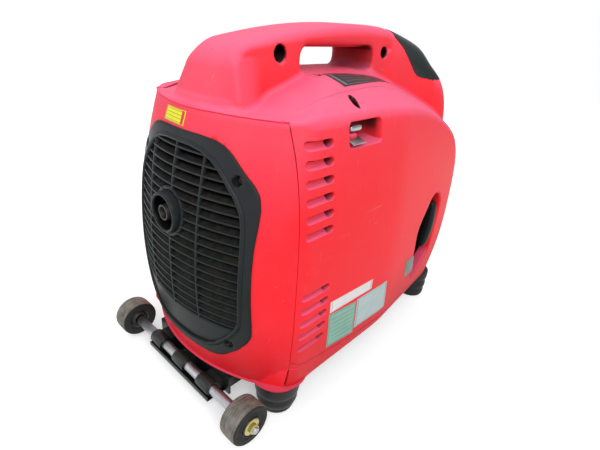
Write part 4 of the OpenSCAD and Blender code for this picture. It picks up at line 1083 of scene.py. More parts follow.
def top_shade(x, y, z):
    """How much shade is painted on the top: black in the screw pits, and dusky under the bar of the hand
    opening.
    """
    rear_pit = np.hypot(x - rear_hole_x, z - hole_z) - rear_hole_r
    front_pit = np.hypot(x - front_hole_x, z - hole_z) - front_hole_r
    w = np.abs(y)
    pits = smooth01((1.6 - np.minimum(rear_pit, front_pit)) / 1.2) * smooth01((37.6 - w) / 1.2) * (w > 20)
    in_gap = smooth01((37 - w) / 3) * smooth01((z - 388) / 8) * smooth01((424 - z) / 3)
    in_gap = in_gap * (np.abs(x + 20) < 75)
    dusk = 0.62 * smooth01((x - 8) / 22) * smooth01((26 - y) / 20) + 0.30 * smooth01((z - 414) / 4)
    return np.maximum(pits, in_gap * dusk)


pit_dark = top_shade(*red_points.T)
near_top = poly_mesh("near_top_shell", red_points, red_faces, {"hollow": pit_dark})
far_top = poly_mesh("far_top_shell", red_points * mirror, red_faces[:, ::-1], {"hollow": pit_dark})
for piece, name in ((near_top, "near_top_half"), (far_top, "far_top_half")):
    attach(piece, "housing")
    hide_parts(name)
    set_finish(piece, "red_plastic")
    lips(piece)

hood_points = onto(lambda x, y, z: body(x, y, z) - 0.8, hood_points, 3)
both_points = np.vstack([hood_points, hood_points * mirror])
both_faces = np.vstack([hood_faces, hood_faces[:, ::-1] + len(hood_points)])
hood = poly_mesh("hood_shell", *weld(both_points, both_faces))
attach(hood, "housing")
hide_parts("panel_hood")
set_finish(hood, "black_gloss")
lips(hood, 2.0, 0.5)
print("top pieces:", near_top.name, far_top.name, hood.name)

# %% [markdown]
# ## Rear cover
# The other covers are walls, so each is a grid of rays that start inside the housing and stop at the
# form. The lines of the grid are closer together where the wall has an edge, a louvre or a recess. The
# rear cover's rays fan out from an upright line, so that the grid's first and last columns lie on the two
# upright seams.

# %% Stations and rays of the rear cover


def lines(low, high, step, *dense):
    """Sorted stations from low to high at a coarse step, with finer steps inside each (from, to, step)
    range."""
    found = np.linspace(low, high, int((high - low) / step) + 2)
    for a, b, fine_step in dense:
        outside = (found < a - fine_step * 0.6) | (found > b + fine_step * 0.6)
        found = np.concatenate([found[outside], np.arange(a, b + fine_step / 2, fine_step)])
    return np.unique(np.round(found, 4))


fine = 1.0
cover_low = 54
fan_x = -130
rear_z = lines(cover_low, cover_top, 4 * fine, (54, 90, 1.5 * fine), (349, 357, 1.0))
rear_z = np.append(rear_z, [358.2, 360.5])
corner_x = seam_x(rear_z)
corner_y = wall_y(corner_x, rear_z)
fan_half = np.arctan2(-corner_y, fan_x - corner_x)
fan = np.linspace(-1, 1, int(140 / fine))[None, :] * fan_half[:, None]
aim = np.stack([-np.cos(fan), np.sin(fan), np.zeros_like(fan)], -1)
start = np.stack([np.full_like(rear_z, fan_x), 0 * rear_z, rear_z], -1)
rear_points = shoot(body, np.broadcast_to(start[:, None], aim.shape), aim, 200, 40)
rear_points[:, 0, 0] = rear_points[:, -1, 0] = corner_x - 0.35 * smooth01((rear_z - 96) / 4)
rear_points[rear_z > cover_top, :, 0] += 0.7
print("rear cover grid:", rear_points.shape)

# %% Corner legs of the rear cover
leg_proud = 1.3
leg_out = np.abs(rear_points[..., 1])
leg_top = np.interp(leg_out, [100, 108, 116, 122.6, 134, 141.4, 146], [40, 51, 64, 72.6, 84, 86, 86])
rear_leg = smooth01((leg_top - rear_points[..., 2]) / 1.6) * smooth01((leg_out - 100) / 10)
rear_points[..., 0] -= leg_proud * rear_leg
print("legs stand", leg_proud, "mm proud")

# %% [markdown]
# ## Outline of the grille
# The grille's two outlines are closed curves with soft corners. Each is given by a few corners on its
# right half, rounded by a running mean, and stored as a radius for every angle round the middle, which
# suits a rolled edge.

# %% Outline of the grille
grille_y = 0.0
grille_z = 210.0
frame_turns = int(900 / fine)
outer_half = [
    (30, 338.8), (48, 337.5), (58, 335.5), (66, 332), (73.5, 327), (80, 321), (90, 311.3), (100.6, 302.2),
    (107, 293), (110, 280), (110, 262), (108.6, 238), (108.4, 208), (108.9, 175), (109.6, 146), (109, 130),
    (104, 119), (92, 104), (73, 87.5), (63, 82.5), (53, 80.5), (28, 80)]
inner_half = [
    (20, 325.4), (37, 323.1), (44, 320.5), (53.4, 316), (62, 309), (68, 303), (77, 292.7), (83.3, 286),
    (91, 272), (93.8, 258), (95.2, 235), (95.3, 204), (95.2, 170), (94.5, 146), (89.4, 134.7),
    (80.5, 122.8), (64, 106), (50, 98.4), (27, 94.5)]


def soft_outline(half, soften, count):
    """A closed outline from its right half, listed from top to bottom as (y, z). It is walked in
    half-millimetre steps, rounded by a running mean of the given length, and returned as even angles and
    the radius at each."""
    half = np.array(half, float)
    ring = np.vstack([half, (half * [-1, 1])[::-1], half[:1]])
    reach = np.concatenate([[0], np.cumsum(np.hypot(*np.diff(ring, axis=0).T))])
    walk = np.arange(0, reach[-1], 0.5)
    path = np.stack([np.interp(walk, reach, ring[:, k]) for k in (0, 1)], -1)
    n = int(soften / 0.5)
    weight = np.hanning(n + 2)[1:-1]
    weight /= weight.sum()
    wrapped = np.vstack([path[-n:], path, path[:n]])
    path = np.stack([np.convolve(wrapped[:, k], weight, "same")[n:-n] for k in (0, 1)], -1)
    turn = np.arctan2(path[:, 1] - grille_z, path[:, 0] - grille_y)
    radius = np.hypot(path[:, 0] - grille_y, path[:, 1] - grille_z)
    order = np.argsort(turn)
    even = np.linspace(-math.pi, math.pi, count, endpoint=False)
    return even, np.interp(even, turn[order], radius[order], period=2 * math.pi)


angle, outer_r = soft_outline(outer_half, 9, frame_turns)
angle, inner_r = soft_outline(inner_half, 9, frame_turns)


def inside_frame(points):
    """How far points lie inside the grille's outer outline, along the line to its middle."""
    across, up = points[..., 1] - grille_y, points[..., 2] - grille_z
    return np.interp(np.arctan2(up, across), angle, outer_r, period=2 * math.pi) - np.hypot(across, up)


print("grille outline, widest radius:", round(float(outer_r.max()), 1), "mm")

# %% Rear cover
seat_depth = 5
tuck_x = 0.3
tuck_y = 3.2
rear_points[..., 0] += seat_depth * smooth01((inside_frame(rear_points) - 2.5) / 3)
tucks = [rear_points[:, [end]] + [0, way * tuck_y, 0] for end, way in ((0, 1), (-1, -1))]
for tuck in tucks:
    tuck[..., 0] = (corner_x + tuck_x)[:, None]
rear_points = np.concatenate([tucks[0], rear_points, tucks[1]], 1)
rear_leg = np.pad(rear_leg, ((0, 0), (1, 1)), mode="edge")
middles = (rear_points[:-1, :-1] + rear_points[1:, 1:]) / 2
# A negative value keeps the painted low shade off the corner legs.
rear = grid_mesh("rear_cover_shell", rear_points, keep=inside_frame(middles) <= 7, flip=True,
                 extra={"hollow": -0.5 * rear_leg})
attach(rear, "housing")
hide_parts("rear_cover")
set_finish(rear, "red_plastic")
lips(rear)
print("rear cover:", len(rear.data.polygons), "quads")

# %% [markdown]
# ## Side covers
# A side cover is a wall that folds over the shoulder. Its grid has two parts with shared columns: level
# rays for the wall, and rays in a fan for the shoulder. Each is denser where louvres, the window or a
# screw will be.

# %% Wall of the side covers
louvre_pitch = 17.6
slot_heights = [342 - louvre_pitch * i for i in range(6)] + [183 - louvre_pitch * i for i in range(5)]
wall_levels = 304.0
fold_drop = 2.6


def crease_z(x):
    """Height of the edge between side wall and roof: where the wall's width meets the roof's arc, by
    repetition."""
    z = np.full_like(x, 350.0)
    for _ in range(12):
        bulge = half_width - (z - waist_z) ** 2 / 2100
        w = np.minimum(bulge, bulge - 0.1192 * (x + 9))
        q = np.sqrt(roof_arc**2 - w**2)
        falling = np.sqrt((255 + q) ** 2 - np.maximum(x - seat_x, 0) ** 2) + roof_axis_z
        z = np.where(x < seat_x, 150 + q, falling)
    return z


def sheared(stations, z):
    """Moves the first 30 mm of stations forwards so that the first lies on the leaning seam at each
    height."""
    first = seam_x(z) + 0.35
    share = np.clip((stations - stations.min()) / 30, 0, 1)
    return stations + (first - stations.min()) * (1 - share)


louvre_bands = [(h - 4.4, h + 5.6, 0.55 * fine) for h in slot_heights if h > 101]
level = lines(cover_low, 358, 4, (58, 101, 0.8 * fine), *louvre_bands, (329.6, 338, 0.6 * fine),
              (354.6, 358, 0.6 * fine))
along = lines(-196.65, front_seam_x, 4, (-196, -141, 0.8 * fine), (-120, -116, 0.6 * fine),
              (-98, -70, 0.9 * fine), (-66, -58.6, 0.6 * fine))
along_top = sheared(along, 360)
flank_top = crease_z(along_top) - fold_drop
X, L = np.meshgrid(along, level, indexing="ij")
blend_in = smooth01((X + 62) / 30)
stretched = cover_low + (L - cover_low) * (flank_top - cover_low)[:, None] / wall_levels
clipped = np.where(X < -30, np.minimum(L, flank_top[:, None]), 0)
Z = stretched * blend_in + clipped * (1 - blend_in)
X = sheared(X, Z)
flank_points = np.stack([X, wall_y(X, Z), Z], -1)
n_flank = flank_points.shape[1]
print("side wall grid:", flank_points.shape)

# %% Shoulder of the side covers
rows_over = int(42 / fine)
tilt = np.linspace(0, math.radians(84), int(420 / fine))
tilt_aim = np.stack([0 * tilt, -np.cos(tilt), np.sin(tilt)], -1)


def shoulder_column(x, fold_z):
    """Points from the fold to the shoulder seam at one X. A fan of rays finds the section, and the points
    are set along its length, closer together near the fold."""
    origin = np.broadcast_to([x, 0, fold_z - 20], tilt_aim.shape).astype(float)
    path = shoot(body, origin, tilt_aim, 260, 50)
    rank = np.arange(len(path))
    past_seam = seam_half(x) + (0.85 - 0.4 * smooth01((x + 120) / 40)) + path[:, 1]
    stop = np.interp(0, past_seam, rank) if past_seam[0] < 0 else 0
    begin = np.interp(fold_z, path[:, 2], rank)
    walked = np.concatenate([[0], np.cumsum(np.linalg.norm(np.diff(path, axis=0), axis=1))])
    a, b = np.interp([begin, stop], rank, walked)
    want = a + (b - a) * np.linspace(0, 1, rows_over) ** 1.15
    return np.stack([np.interp(want, walked, path[:, k]) for k in range(3)], -1)


over_points = np.array([shoulder_column(x, fold_z) for x, fold_z in zip(along_top, flank_top)])
side_grid = np.concatenate([flank_points, over_points[:, 1:]], 1)
side_x, side_y, side_z = np.moveaxis(side_grid, -1, 0)
print("side grid with its shoulder:", side_grid.shape)

# %% [markdown]
# ## Details pressed into the wall
# Louvres, seams and recesses could be cut with booleans, but a pressed wall has no sharp cut anywhere. So
# each detail is a depth worked out from a flat outline, and the grid's points move inwards by it. A value
# per point also says how dark it is inside, because no light reaches the bottom of a narrow slot.

# %% Louvres, lip and screw recess


def stadium(x, z, x0, x1, zc, r):
    """Distance to a slot outline: a line from x0 + r to x1 - r, thickened by r."""
    return np.hypot(x - np.clip(x, x0 + r, x1 - r), z - zc) - r


def press_slots(x, z):
    """Depth of the louvres at each point, and how dark it is there. Each louvre is a shallow tray in two
    steps that ends in a deep hole at its front end."""
    depth, dark = np.zeros_like(x), np.zeros_like(x)
    for h in slot_heights:
        s = stadium(x, z, seam_x(h) + 7, -144.6, h + 0.6, 4.0)
        tray = 2.6 + 2.2 * smooth01((z - h + 1.6) / 0.7) + 0.06 * (x + 184)
        hole = np.maximum(s, -152.0 - x)
        inside = smooth01((0.3 - s) / 0.9)
        depth = np.maximum(depth, np.maximum(tray * inside, 13 * smooth01((0.3 - hole) / 0.9)))
        # Painted shade: a dark upper band in each tray, a dark line at its step, and black in the hole.
        step_line = 0.25 * np.exp(-((z - h + 1.3) / 0.6) ** 2)
        shade = inside * (0.75 * smooth01((z - h - 2.2) / 1.0) + step_line + 0.05)
        dark = np.maximum(dark, np.maximum(smooth01((0.4 - hole) / 0.8), shade))
    return depth, dark


def press_lip(x, y, z):
    """A raised lip of 1 mm along the shoulder seam, where the side cover overlaps the top halves."""
    reach = np.abs(y) - seam_half(x)
    over_crest = smooth01((z - crease_z(x.copy()) - 1) / 4)
    return np.exp(-(reach / 2.2) ** 2) * over_crest * smooth01((70 - x) / 90)


def press_screw(x, y, z):
    """Depth and shade of the cover screw's recess: an upright hole that opens in the sloping shoulder,
    with a shallow groove running down from it."""
    w = np.abs(y)
    dx, dy = x + 87.5 - 0.28 * (113.4 - w), w - 113.4
    hole = np.hypot(dx / 4.6, dy / 8.8) - 1
    groove = np.hypot((dx - 5) / 5.5, (dy - 7) / 11.0) - 1
    upper = z > 355
    depth = 13 * smooth01(-hole * 4.5 + 0.2) * upper
    dent = 1.6 * smooth01(-groove * 1.2) * upper
    # The second value is a painted shade, black in the hole.
    return np.maximum(depth, dent), smooth01(-hole * 5 + 1.3) * upper


slot_depth, slot_dark = press_slots(side_x, side_z)
slot_depth[:, n_flank:] = 0
screw_depth, screw_dark = press_screw(side_x, side_y, side_z)
pressed = side_grid.copy()
pressed[..., 1] += slot_depth
pressed[..., 2] -= screw_depth
pressed += normals_of(body, side_grid) * press_lip(side_x, side_y, side_z)[..., None]
print("louvres:", len(slot_heights), "deepest", round(float(slot_depth.max()), 1), "mm")

# %% Lower seam and corner leg
lower_x = [-194.5, -193.2, -190, -179, -163, -132, -95, -40, 20, 200]
lower_z = [102, 97, 92.6, 86.4, 82.4, 76.2, 70.9, 65.5, 61.5, 60]
off_seam = side_z - np.interp(side_x, lower_x, lower_z)
pressed[..., 1] += 1.2 * np.exp(-(off_seam / 0.8) ** 2) * smooth01((side_x + 194.5) / 2)
leg_line = np.interp(side_x, [-194, -179, -163, -132, -95, 200], [87, 83, 78, 71, 64, 50])
leg = smooth01((leg_line - side_z) / 1.4)
leg = leg * smooth01((-150 - side_x) / 25)
pressed[..., 1] -= 1.0 * leg
# Painted shade: a dark line along the lower seam, and along the shoulder seam on the last row.
seam_shade = 0.5 * np.exp(-(off_seam / 0.7) ** 2)
seam_shade[:, -1] = 0.6 * smooth01((70 - side_x[:, -1]) / 30) * smooth01((side_x[:, -1] + 189) / 3)
# All painted shade of a side cover: louvres, screw recess and seams.
hollow = np.maximum(np.maximum(slot_dark * (slot_depth > 0.5), screw_dark), seam_shade)
# A negative value keeps the painted low shade off the corner leg.
hollow = np.where(hollow < 0.02, -0.5 * leg, hollow)
print("shaded points on a side cover:", int((hollow > 0.5).sum()))

# %% Window of the fuel lever
window_depth = 20.0
window_box = (-118.5, -61, 331.5, 357, 6)
window_floor_y = -(half_width - 34)


def press_window(x, z):
    """Depth of the lever window: 20 mm inside a rounded rectangle, less towards its sloping sill and
    front end."""
    sill = np.clip((z - 331) * 3.6, 0, window_depth)
    front_end = np.clip((-60.5 - x) * 4.5, 0, window_depth)
    flat = window_depth * smooth01((0.8 - box2(x, z, *window_box)) / 1.6)
    return np.minimum(flat, np.minimum(sill, front_end))


pressed_in = press_window(side_x, side_z)
pressed_in[:, n_flank:] = 0
in_window = smooth01((pressed_in - 2) / 8) * smooth01((side_z - 333) / 4)
# Painted shade inside the lever window, darker towards its top.
near_painted_shade = np.maximum(hollow, in_window * (0.45 + 0.45 * smooth01((side_z - 337) / 12)))
share_in = pressed_in / window_depth
near_grid = pressed.copy()
near_grid[..., 1] = near_grid[..., 1] * (1 - share_in) + window_floor_y * share_in
print("window floor at y =", window_floor_y)

# %% [markdown]
# ## Openings in the side covers
# The pocket behind the panel and the lid's opening go right through. A block of grid cells is taken out,
# and rings of points run from the block's own edge to the opening's outline, so nothing gapes between
# them.

# %% Patches round the openings


def rim_of(grid, block):
    """The points of a grid round a block of its cells, as one closed ring."""
    i0, i1, j0, j1 = block
    return np.concatenate([grid[i0:i1, j0], grid[i1, j0:j1], grid[i1:i0:-1, j1], grid[i0, j1:j0:-1]])


def opening_patch(grid, block, outline, centre, rounding, deep, rings=7):
    """Rings that run from a block's own edge points to an outline, over a rounded lip of the given radius
    and straight inwards. On the lip, the ring at the angle phi lies sin(phi) in and 1 - cos(phi) down."""
    edge = rim_of(grid, block)
    theta = np.arctan2(edge[:, 2] - centre[1], edge[:, 0] - centre[0])
    order = np.argsort(outline[0])
    radius = np.interp(theta, outline[0][order], outline[1][order], period=2 * math.pi)
    ray = np.stack([np.cos(theta), np.sin(theta)], -1)
    rim = np.array(centre) + ray * (radius + rounding)[:, None]
    made = [edge]
    for t in np.arange(1, rings + 1) / rings:
        q = edge[:, [0, 2]] * (1 - t) + rim * t
        made.append(np.stack([q[:, 0], wall_y(q[:, 0], q[:, 1]), q[:, 1]], -1))
    for phi in np.linspace(0, math.pi / 2, 6)[1:]:
        q = np.array(centre) + ray * (radius + rounding * (1 - math.sin(phi)))[:, None]
        y = wall_y(q[:, 0], q[:, 1]) + rounding * (1 - math.cos(phi))
        made.append(np.stack([q[:, 0], y, q[:, 1]], -1))
    made.append(made[-1] + [0, deep, 0])
    return np.array(made)


def circles_outline(circles, centre):
    """Polar outline of the hull round several circles, seen from a centre: (angles, radii). At each angle
    the radius is the least support distance over the cosine of the angle to its direction."""
    a = np.linspace(-math.pi, math.pi, 361)
    d = np.stack([np.cos(a), np.sin(a)], -1)
    support = np.max([d @ (np.array(c[:2]) - centre) + c[2] for c in circles], 0)
    gap = np.cos(a[None, :] - a[:, None])
    return a, np.min(np.where(gap > 0.02, support[None, :] / np.maximum(gap, 0.02), 1e9), 1)


def box_outline(box, centre):
    """Polar outline of a rounded rectangle, seen from a centre: each radius shrinks by its distance to
    the box."""
    a = np.linspace(-math.pi, math.pi, 721)
    radius = np.full_like(a, 200.0)
    for _ in range(60):
        radius -= box2(centre[0] + radius * np.cos(a), centre[1] + radius * np.sin(a), *box)
    return a, radius


def block_of(x0, x1, z0, z1):
    """Grid lines that enclose a rectangle on the side wall."""
    i0, i1 = np.searchsorted(along, x0) - 1, np.searchsorted(along, x1)
    heights = side_grid[i0:i1 + 1, :n_flank, 2]
    return i0, i1, int(np.searchsorted(heights.max(0), z0)) - 1, int(np.searchsorted(heights.min(0), z1))


print("patch functions ready")

# %% Pocket and lid opening
pocket_circles = [(127, 192, 28), (110, 165, 33), (133, 120, 18), (101, 91, 12)]
pocket_centre = np.array([118.0, 152.0])
pocket_block = block_of(68, 174, 70, 238)
pocket_line = circles_outline(pocket_circles, pocket_centre)
pocket_patch = opening_patch(near_grid, pocket_block, pocket_line, pocket_centre, 4.0, 12.0)

lid_box = (-60.4, 58.4, 111.6, 254.4, 10.4)
lid_centre = np.array([-1.0, 183.0])
lid_block = block_of(-72, 70, 100, 266)
lid_patch = opening_patch(pressed, lid_block, box_outline(lid_box, lid_centre), lid_centre, 1.0, 3.0, 4)
print("patch points, pocket and lid:", pocket_patch.shape[:2], lid_patch.shape[:2])

# %% Near and far side cover


def side_cover(name, grid, block, patch, side, dark):
    """Joins a pressed wall grid, less a block of cells, with the patch round its opening. The patch's
    first ring takes the grid's own point numbers, so the two share their points. The far side is
    mirrored."""
    rows, cols = grid.shape[:2]
    rings, count = patch.shape[:2]
    keep = np.ones((rows - 1, cols - 1), bool)
    keep[block[0]:block[1], block[2]:block[3]] = False
    ring_quads = grid_quads(rings, count, rows * cols, close_v=True)[..., turned_round].reshape(-1, 4)
    points = np.vstack([grid.reshape(-1, 3), patch.reshape(-1, 3)])
    shade = np.concatenate([dark.ravel(), np.zeros(rings * count)])
    own_number = np.arange(len(points))
    own_number[rows * cols:rows * cols + count] = rim_of(np.arange(rows * cols).reshape(rows, cols), block)
    faces = own_number[np.vstack([grid_quads(rows, cols)[keep], ring_quads])]
    if side == "far":
        points = points * mirror
        faces = faces[:, ::-1]
    piece = poly_mesh(name, points, faces, {"hollow": shade})
    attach(piece, "housing")
    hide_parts(side + "_side_cover")
    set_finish(piece, "red_plastic")
    lips(piece, 3.0, 0.45)
    return piece


near_side = side_cover("near_side_shell", near_grid, pocket_block, pocket_patch, "near", near_painted_shade)
far_side = side_cover("far_side_shell", pressed, lid_block, lid_patch, "far", hollow)
print("side covers:", len(near_side.data.polygons), len(far_side.data.polygons), "quads")

# %% [markdown]
# ## Front cover
# The front cover is gently curved and turns round its corners. Straight rays make its face, and a fan of
# rays on either side makes the corners. Its face is then pressed back to a flat seat for the panel, with
# nine vents.

# %% Front cover
ray_x = 190
ray_half = 100
panel_seat_x = 217.8
front_z = lines(cover_low, front_seam_z, 4, (66, 70, 1 * fine), (90, 94, 1 * fine), (103, 107, 0.7 * fine),
                (273, 277, 0.7 * fine), (107, 119, 1.5), (261, 273, 1.5))
front_y = lines(-ray_half, ray_half, 4, (-82, -67, 0.9 * fine), (67, 82, 0.9 * fine), (-66, 66, 2.0 * fine))
corner_y = wall_y(np.full_like(front_z, front_seam_x), front_z)
end_angle = np.arctan2(-corner_y - ray_half, np.full_like(corner_y, front_seam_x - ray_x))
turns = np.linspace(0, 1, 14)[1:, None] * end_angle
out_way = np.concatenate([-turns[::-1], np.zeros((len(front_y), len(front_z))), turns])
start_y = np.concatenate([np.full(len(turns), -ray_half), front_y, np.full(len(turns), ray_half)])
starts = np.stack([0 * out_way + ray_x, out_way * 0 + start_y[:, None], out_way * 0 + front_z], -1)
aims = np.stack([np.cos(out_way), np.sin(out_way), 0 * out_way], -1)
front_points = shoot(body, starts, aims, 90, 40)
front_points[0, :, 0] = front_points[-1, :, 0] = front_seam_x

y, z = front_points[..., 1], front_points[..., 2]
panel_s = box2(y, z, -80, 80, 105, 275, 12)
share_in = smooth01((0.9 - panel_s) / 1.8)
vent_pitch = 16
vent = np.min([stadium(z, y, 68, 92, i * vent_pitch, 4) for i in range(-4, 5)], 0)
vent_in = smooth01((0.3 - vent) / 1.0)
front_points[..., 0] = front_points[..., 0] * (1 - share_in) + panel_seat_x * share_in - 9 * vent_in
mid_s = (panel_s[:-1, :-1] + panel_s[1:, 1:]) / 2
# The vents also carry a painted shade, dark deep inside them.
front = grid_mesh("front_cover_shell", front_points, keep=mid_s > -2.5, extra={"hollow": vent_in})
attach(front, "housing")
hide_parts("front_cover")
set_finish(front, "red_plastic")
lips(front, 3.0, 0.45)
print("front cover:", len(front.data.polygons), "quads")

# %% [markdown]
# ## Rear grille
# The grille is one black moulding: a broad frame with a rounded outer edge, a rolled lip round the
# louvred field, thin tilted blades with a bead along their front, three ribs and a plain band below. Each
# of these is a section carried over the rear face, so it is worked out as height above that face and
# bends with it by itself.

# %% Grille frame


def rear_spot(y, z, h):
    """Points h millimetres outside the rear face, along its normal, which comes from the face's slopes in
    Y and Z."""
    y, z, h = np.broadcast_arrays(y, z, h)
    e = 0.1
    slope_y = (rear_x(y + e, z) - rear_x(y - e, z)) / (2 * e)
    slope_z = (rear_x(y, z + e) - rear_x(y, z - e)) / (2 * e)
    size = np.sqrt(1 + slope_y**2 + slope_z**2)
    return np.stack([rear_x(y, z) - h / size, y + h * slope_y / size, z + h * slope_z / size], -1)


frame_face = 2.35
# Both edges are sections of (distance from their outline, height above the rear face).
edge_out = [(0.2, -4.0), (0.0, -0.6), (0.0, 0.7), (0.35, 1.4), (0.9, 1.9), (1.8, 2.2), (3.0, frame_face)]
edge_in = [(5.6, frame_face), (4.6, 2.55), (3.8, 3.2), (3.0, 3.9), (2.0, 4.1), (1.1, 3.8), (0.45, 3.0),
           (0.1, 1.8), (0.0, 0.6), (0.0, -9.0)]
flat = np.linspace(0, 1, int(36 / fine) + 2)[1:-1]
radii = np.concatenate([
    outer_r[:, None] - [offset for offset, _ in edge_out],
    (outer_r - 3.0)[:, None] * (1 - flat) + (inner_r + 5.0)[:, None] * flat,
    inner_r[:, None] + [offset for offset, _ in edge_in]], 1)
heights = np.concatenate([[h for _, h in edge_out], 0 * flat + frame_face, [h for _, h in edge_in]])
frame_y = grille_y + radii * np.cos(angle)[:, None]
frame_z = grille_z + radii * np.sin(angle)[:, None]
frame_h = np.broadcast_to(heights, frame_y.shape).copy()
upper_screw = np.hypot(np.abs(frame_y) - 83, frame_z - 304) - 5.3
lower_screw = np.hypot(np.abs(frame_y) - 82, frame_z - 110) - 4.8
screw_gap = np.minimum(upper_screw, lower_screw)
screw_in = smooth01((0.5 - screw_gap) / 1.0)
frame_h -= 8.5 * screw_in + 0.35 * np.exp(-((screw_gap - 1.2) / 0.8) ** 2) * (heights > 2)
# Painted shade: black deep in the screw recesses.
grille_frame = grid_mesh("grille_frame", rear_spot(frame_y, frame_z, frame_h), close_u=True,
                         extra={"hollow": screw_in * smooth01((-screw_gap - 0.3) / 1.0)})
print("grille frame:", len(grille_frame.data.polygons), "quads")

# %% Blades and ribs
ring_y = 7.0
ring_z = 248.0
ring_clear = 25.5
blade_count = 19
band_z = 132.5
field_top = 326.0
field_back = -8.5
pitch = (field_top - band_z) / blade_count
# Both sections are points of (height above the rear face, offset from the strip's own line).
blade_loop = np.array([
    (1.2, -1.25), (1.75, -0.7), (1.85, 0.1), (1.6, 0.8), (1.0, 1.15), (0.4, 1.05), (0.0, 1.2), (-3.5, 3.7),
    (field_back, 7.2), (field_back, 5.6), (-3.5, 2.1), (0.0, -0.4), (0.6, -1.1)])
rib_loop = np.array([
    (1.1, 1.3), (1.45, 0.9), (1.55, 0.0), (1.45, -0.9), (1.1, -1.3), (field_back, -1.3), (field_back, 1.3)])
field_side_z = [134.7, 146, 170, 235, 258, 272, 286, 303, 309, 316, 323.1, 326]
field_side_y = [90, 95, 96, 96, 95, 92, 84, 69, 63, 55, 38, 22]
field_top_y = [0, 20, 37, 44, 53.4, 62, 68, 77, 83.3]
field_top_z = [326, 325.4, 323.1, 320.5, 316, 309, 303, 292.7, 286]
strips = []


def strip(line_y, line_z, loop, upright, shade_weight):
    """A closed section of (height, offset) points, carried over the rear face along a line. The offset is
    added to Y on an upright rib and to Z on a blade. Cells on the exhaust ring are left out. The last
    argument, from 0 to 1, scales a painted shade on the section's inner part."""
    points = rear_spot(line_y[:, None] + loop[:, 1] * upright, line_z[:, None] + loop[:, 1] * (not upright),
                       loop[:, 0])
    rows, cols = points.shape[:2]
    from_ring = np.hypot(line_y - ring_y, line_z - ring_z)
    clear = (from_ring[:-1] + from_ring[1:]) / 2 > ring_clear
    start = sum(len(spots) for spots, _, _ in strips)
    quads = grid_quads(rows, cols, start, close_v=True)[..., turned_round]
    # Painted shade on the section's inner part, stored as the inner value.
    soot = smooth01((0.9 - loop[:, 0]) / 1.2) * shade_weight
    soot = np.broadcast_to(soot, (rows, cols)).ravel()
    strips.append((points.reshape(-1, 3), quads[clear].reshape(-1, 4), soot))


for i in range(blade_count):
    blade_z = band_z + (i + 0.5) * pitch
    reach = float(np.interp(blade_z, field_side_z, field_side_y)) + 0.8
    across = np.linspace(-reach, reach, int(64 / fine))
    # The painted inner shade fades past y = 48 on the far side.
    shade_weight = 1 - 0.65 * smooth01((across[:, None] - 48) / 10)
    strip(across, np.full_like(across, blade_z), blade_loop, False, shade_weight)
for rib_y in (-43.0, 1.5, 52.0):
    up = np.linspace(band_z - 2, float(np.interp(abs(rib_y), field_top_y, field_top_z)) + 1, int(90 / fine))
    strip(np.full_like(up, rib_y), up, rib_loop, True, 0.8)
strip_points, strip_quads, strip_painted_shade = (np.concatenate(found) for found in zip(*strips))
blades = poly_mesh("grille_blades", strip_points, strip_quads, {"inner": strip_painted_shade})
print("blades:", len(blades.data.polygons), "quads in", blade_count, "blades and 3 ribs")

# %% Plain band and exhaust collar
low_line = np.linspace(95.5, band_z - 1.6, int(16 / fine))
band_rows = np.concatenate([low_line, [band_z - 0.9, band_z - 0.3, band_z, band_z]])
band_h = np.concatenate([0 * low_line + 0.9, [0.7, 0.2, -0.6, field_back]])
band_half = np.interp(band_rows, [94, 98.4, 106, 122.8, 134.7], [40, 50, 64, 80.5, 89.4]) + 0.8
spread = np.linspace(-1, 1, int(60 / fine))
band_grid = rear_spot(band_half[:, None] * spread[None, :], band_rows[:, None], band_h[:, None])
band_sheet = grid_mesh("grille_band", band_grid, flip=True)

turn_a = np.linspace(0, 2 * math.pi, 96, endpoint=False)[:, None]
collar_r = np.array([23.7, 23.7, 24.2, 26.6, 27.9, 28.4, 28.5])
collar_h = np.array([field_back, 0.6, 1.1, 1.25, 0.9, 0.2, field_back])
collar_grid = rear_spot(ring_y + collar_r * np.cos(turn_a), ring_z + collar_r * np.sin(turn_a), collar_h)
collar = grid_mesh("exhaust_collar", collar_grid, close_u=True, flip=True)
for piece in (grille_frame, blades, band_sheet, collar):
    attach(piece, "housing")
    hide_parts("rear_grille")
    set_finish(piece, "black_plastic")
print("grille band and collar:", len(band_sheet.data.polygons), len(collar.data.polygons), "quads")

# %% [markdown]
# ## Turned pieces
# Rings, tyres, hubs and rubber feet are round, so each is one profile turned about an axis. The profile
# carries what makes it real: the worn round shoulder of a solid tyre, the step where it meets the hub,
# the rings of a foot. A hexagon nut is the same profile turned in only six steps.

# %% Profiles turned about an axis


def turned(profile, count=96):
    """Turns a profile of (radius, along) points about an axis: (count, points, 3) as across, up and
    along, which are the radius times the cosine, the radius times the sine, and the station."""
    a = np.linspace(0, 2 * math.pi, count, endpoint=False)
    r, t = np.array(profile, float).T
    along_axis = np.broadcast_to(t, (count, len(t)))
    return np.stack([np.cos(a)[:, None] * r, np.sin(a)[:, None] * r, along_axis], -1)


def rounded(profile, times=2):
    """Softens a closed profile: every corner is replaced by two points a quarter of the way along its two
    sides, the given number of times."""
    p = np.array(profile, float)
    for _ in range(times):
        q = np.roll(p, -1, axis=0)
        p = np.stack([p * 0.75 + q * 0.25, p * 0.25 + q * 0.75], 1).reshape(-1, 2)
    return p


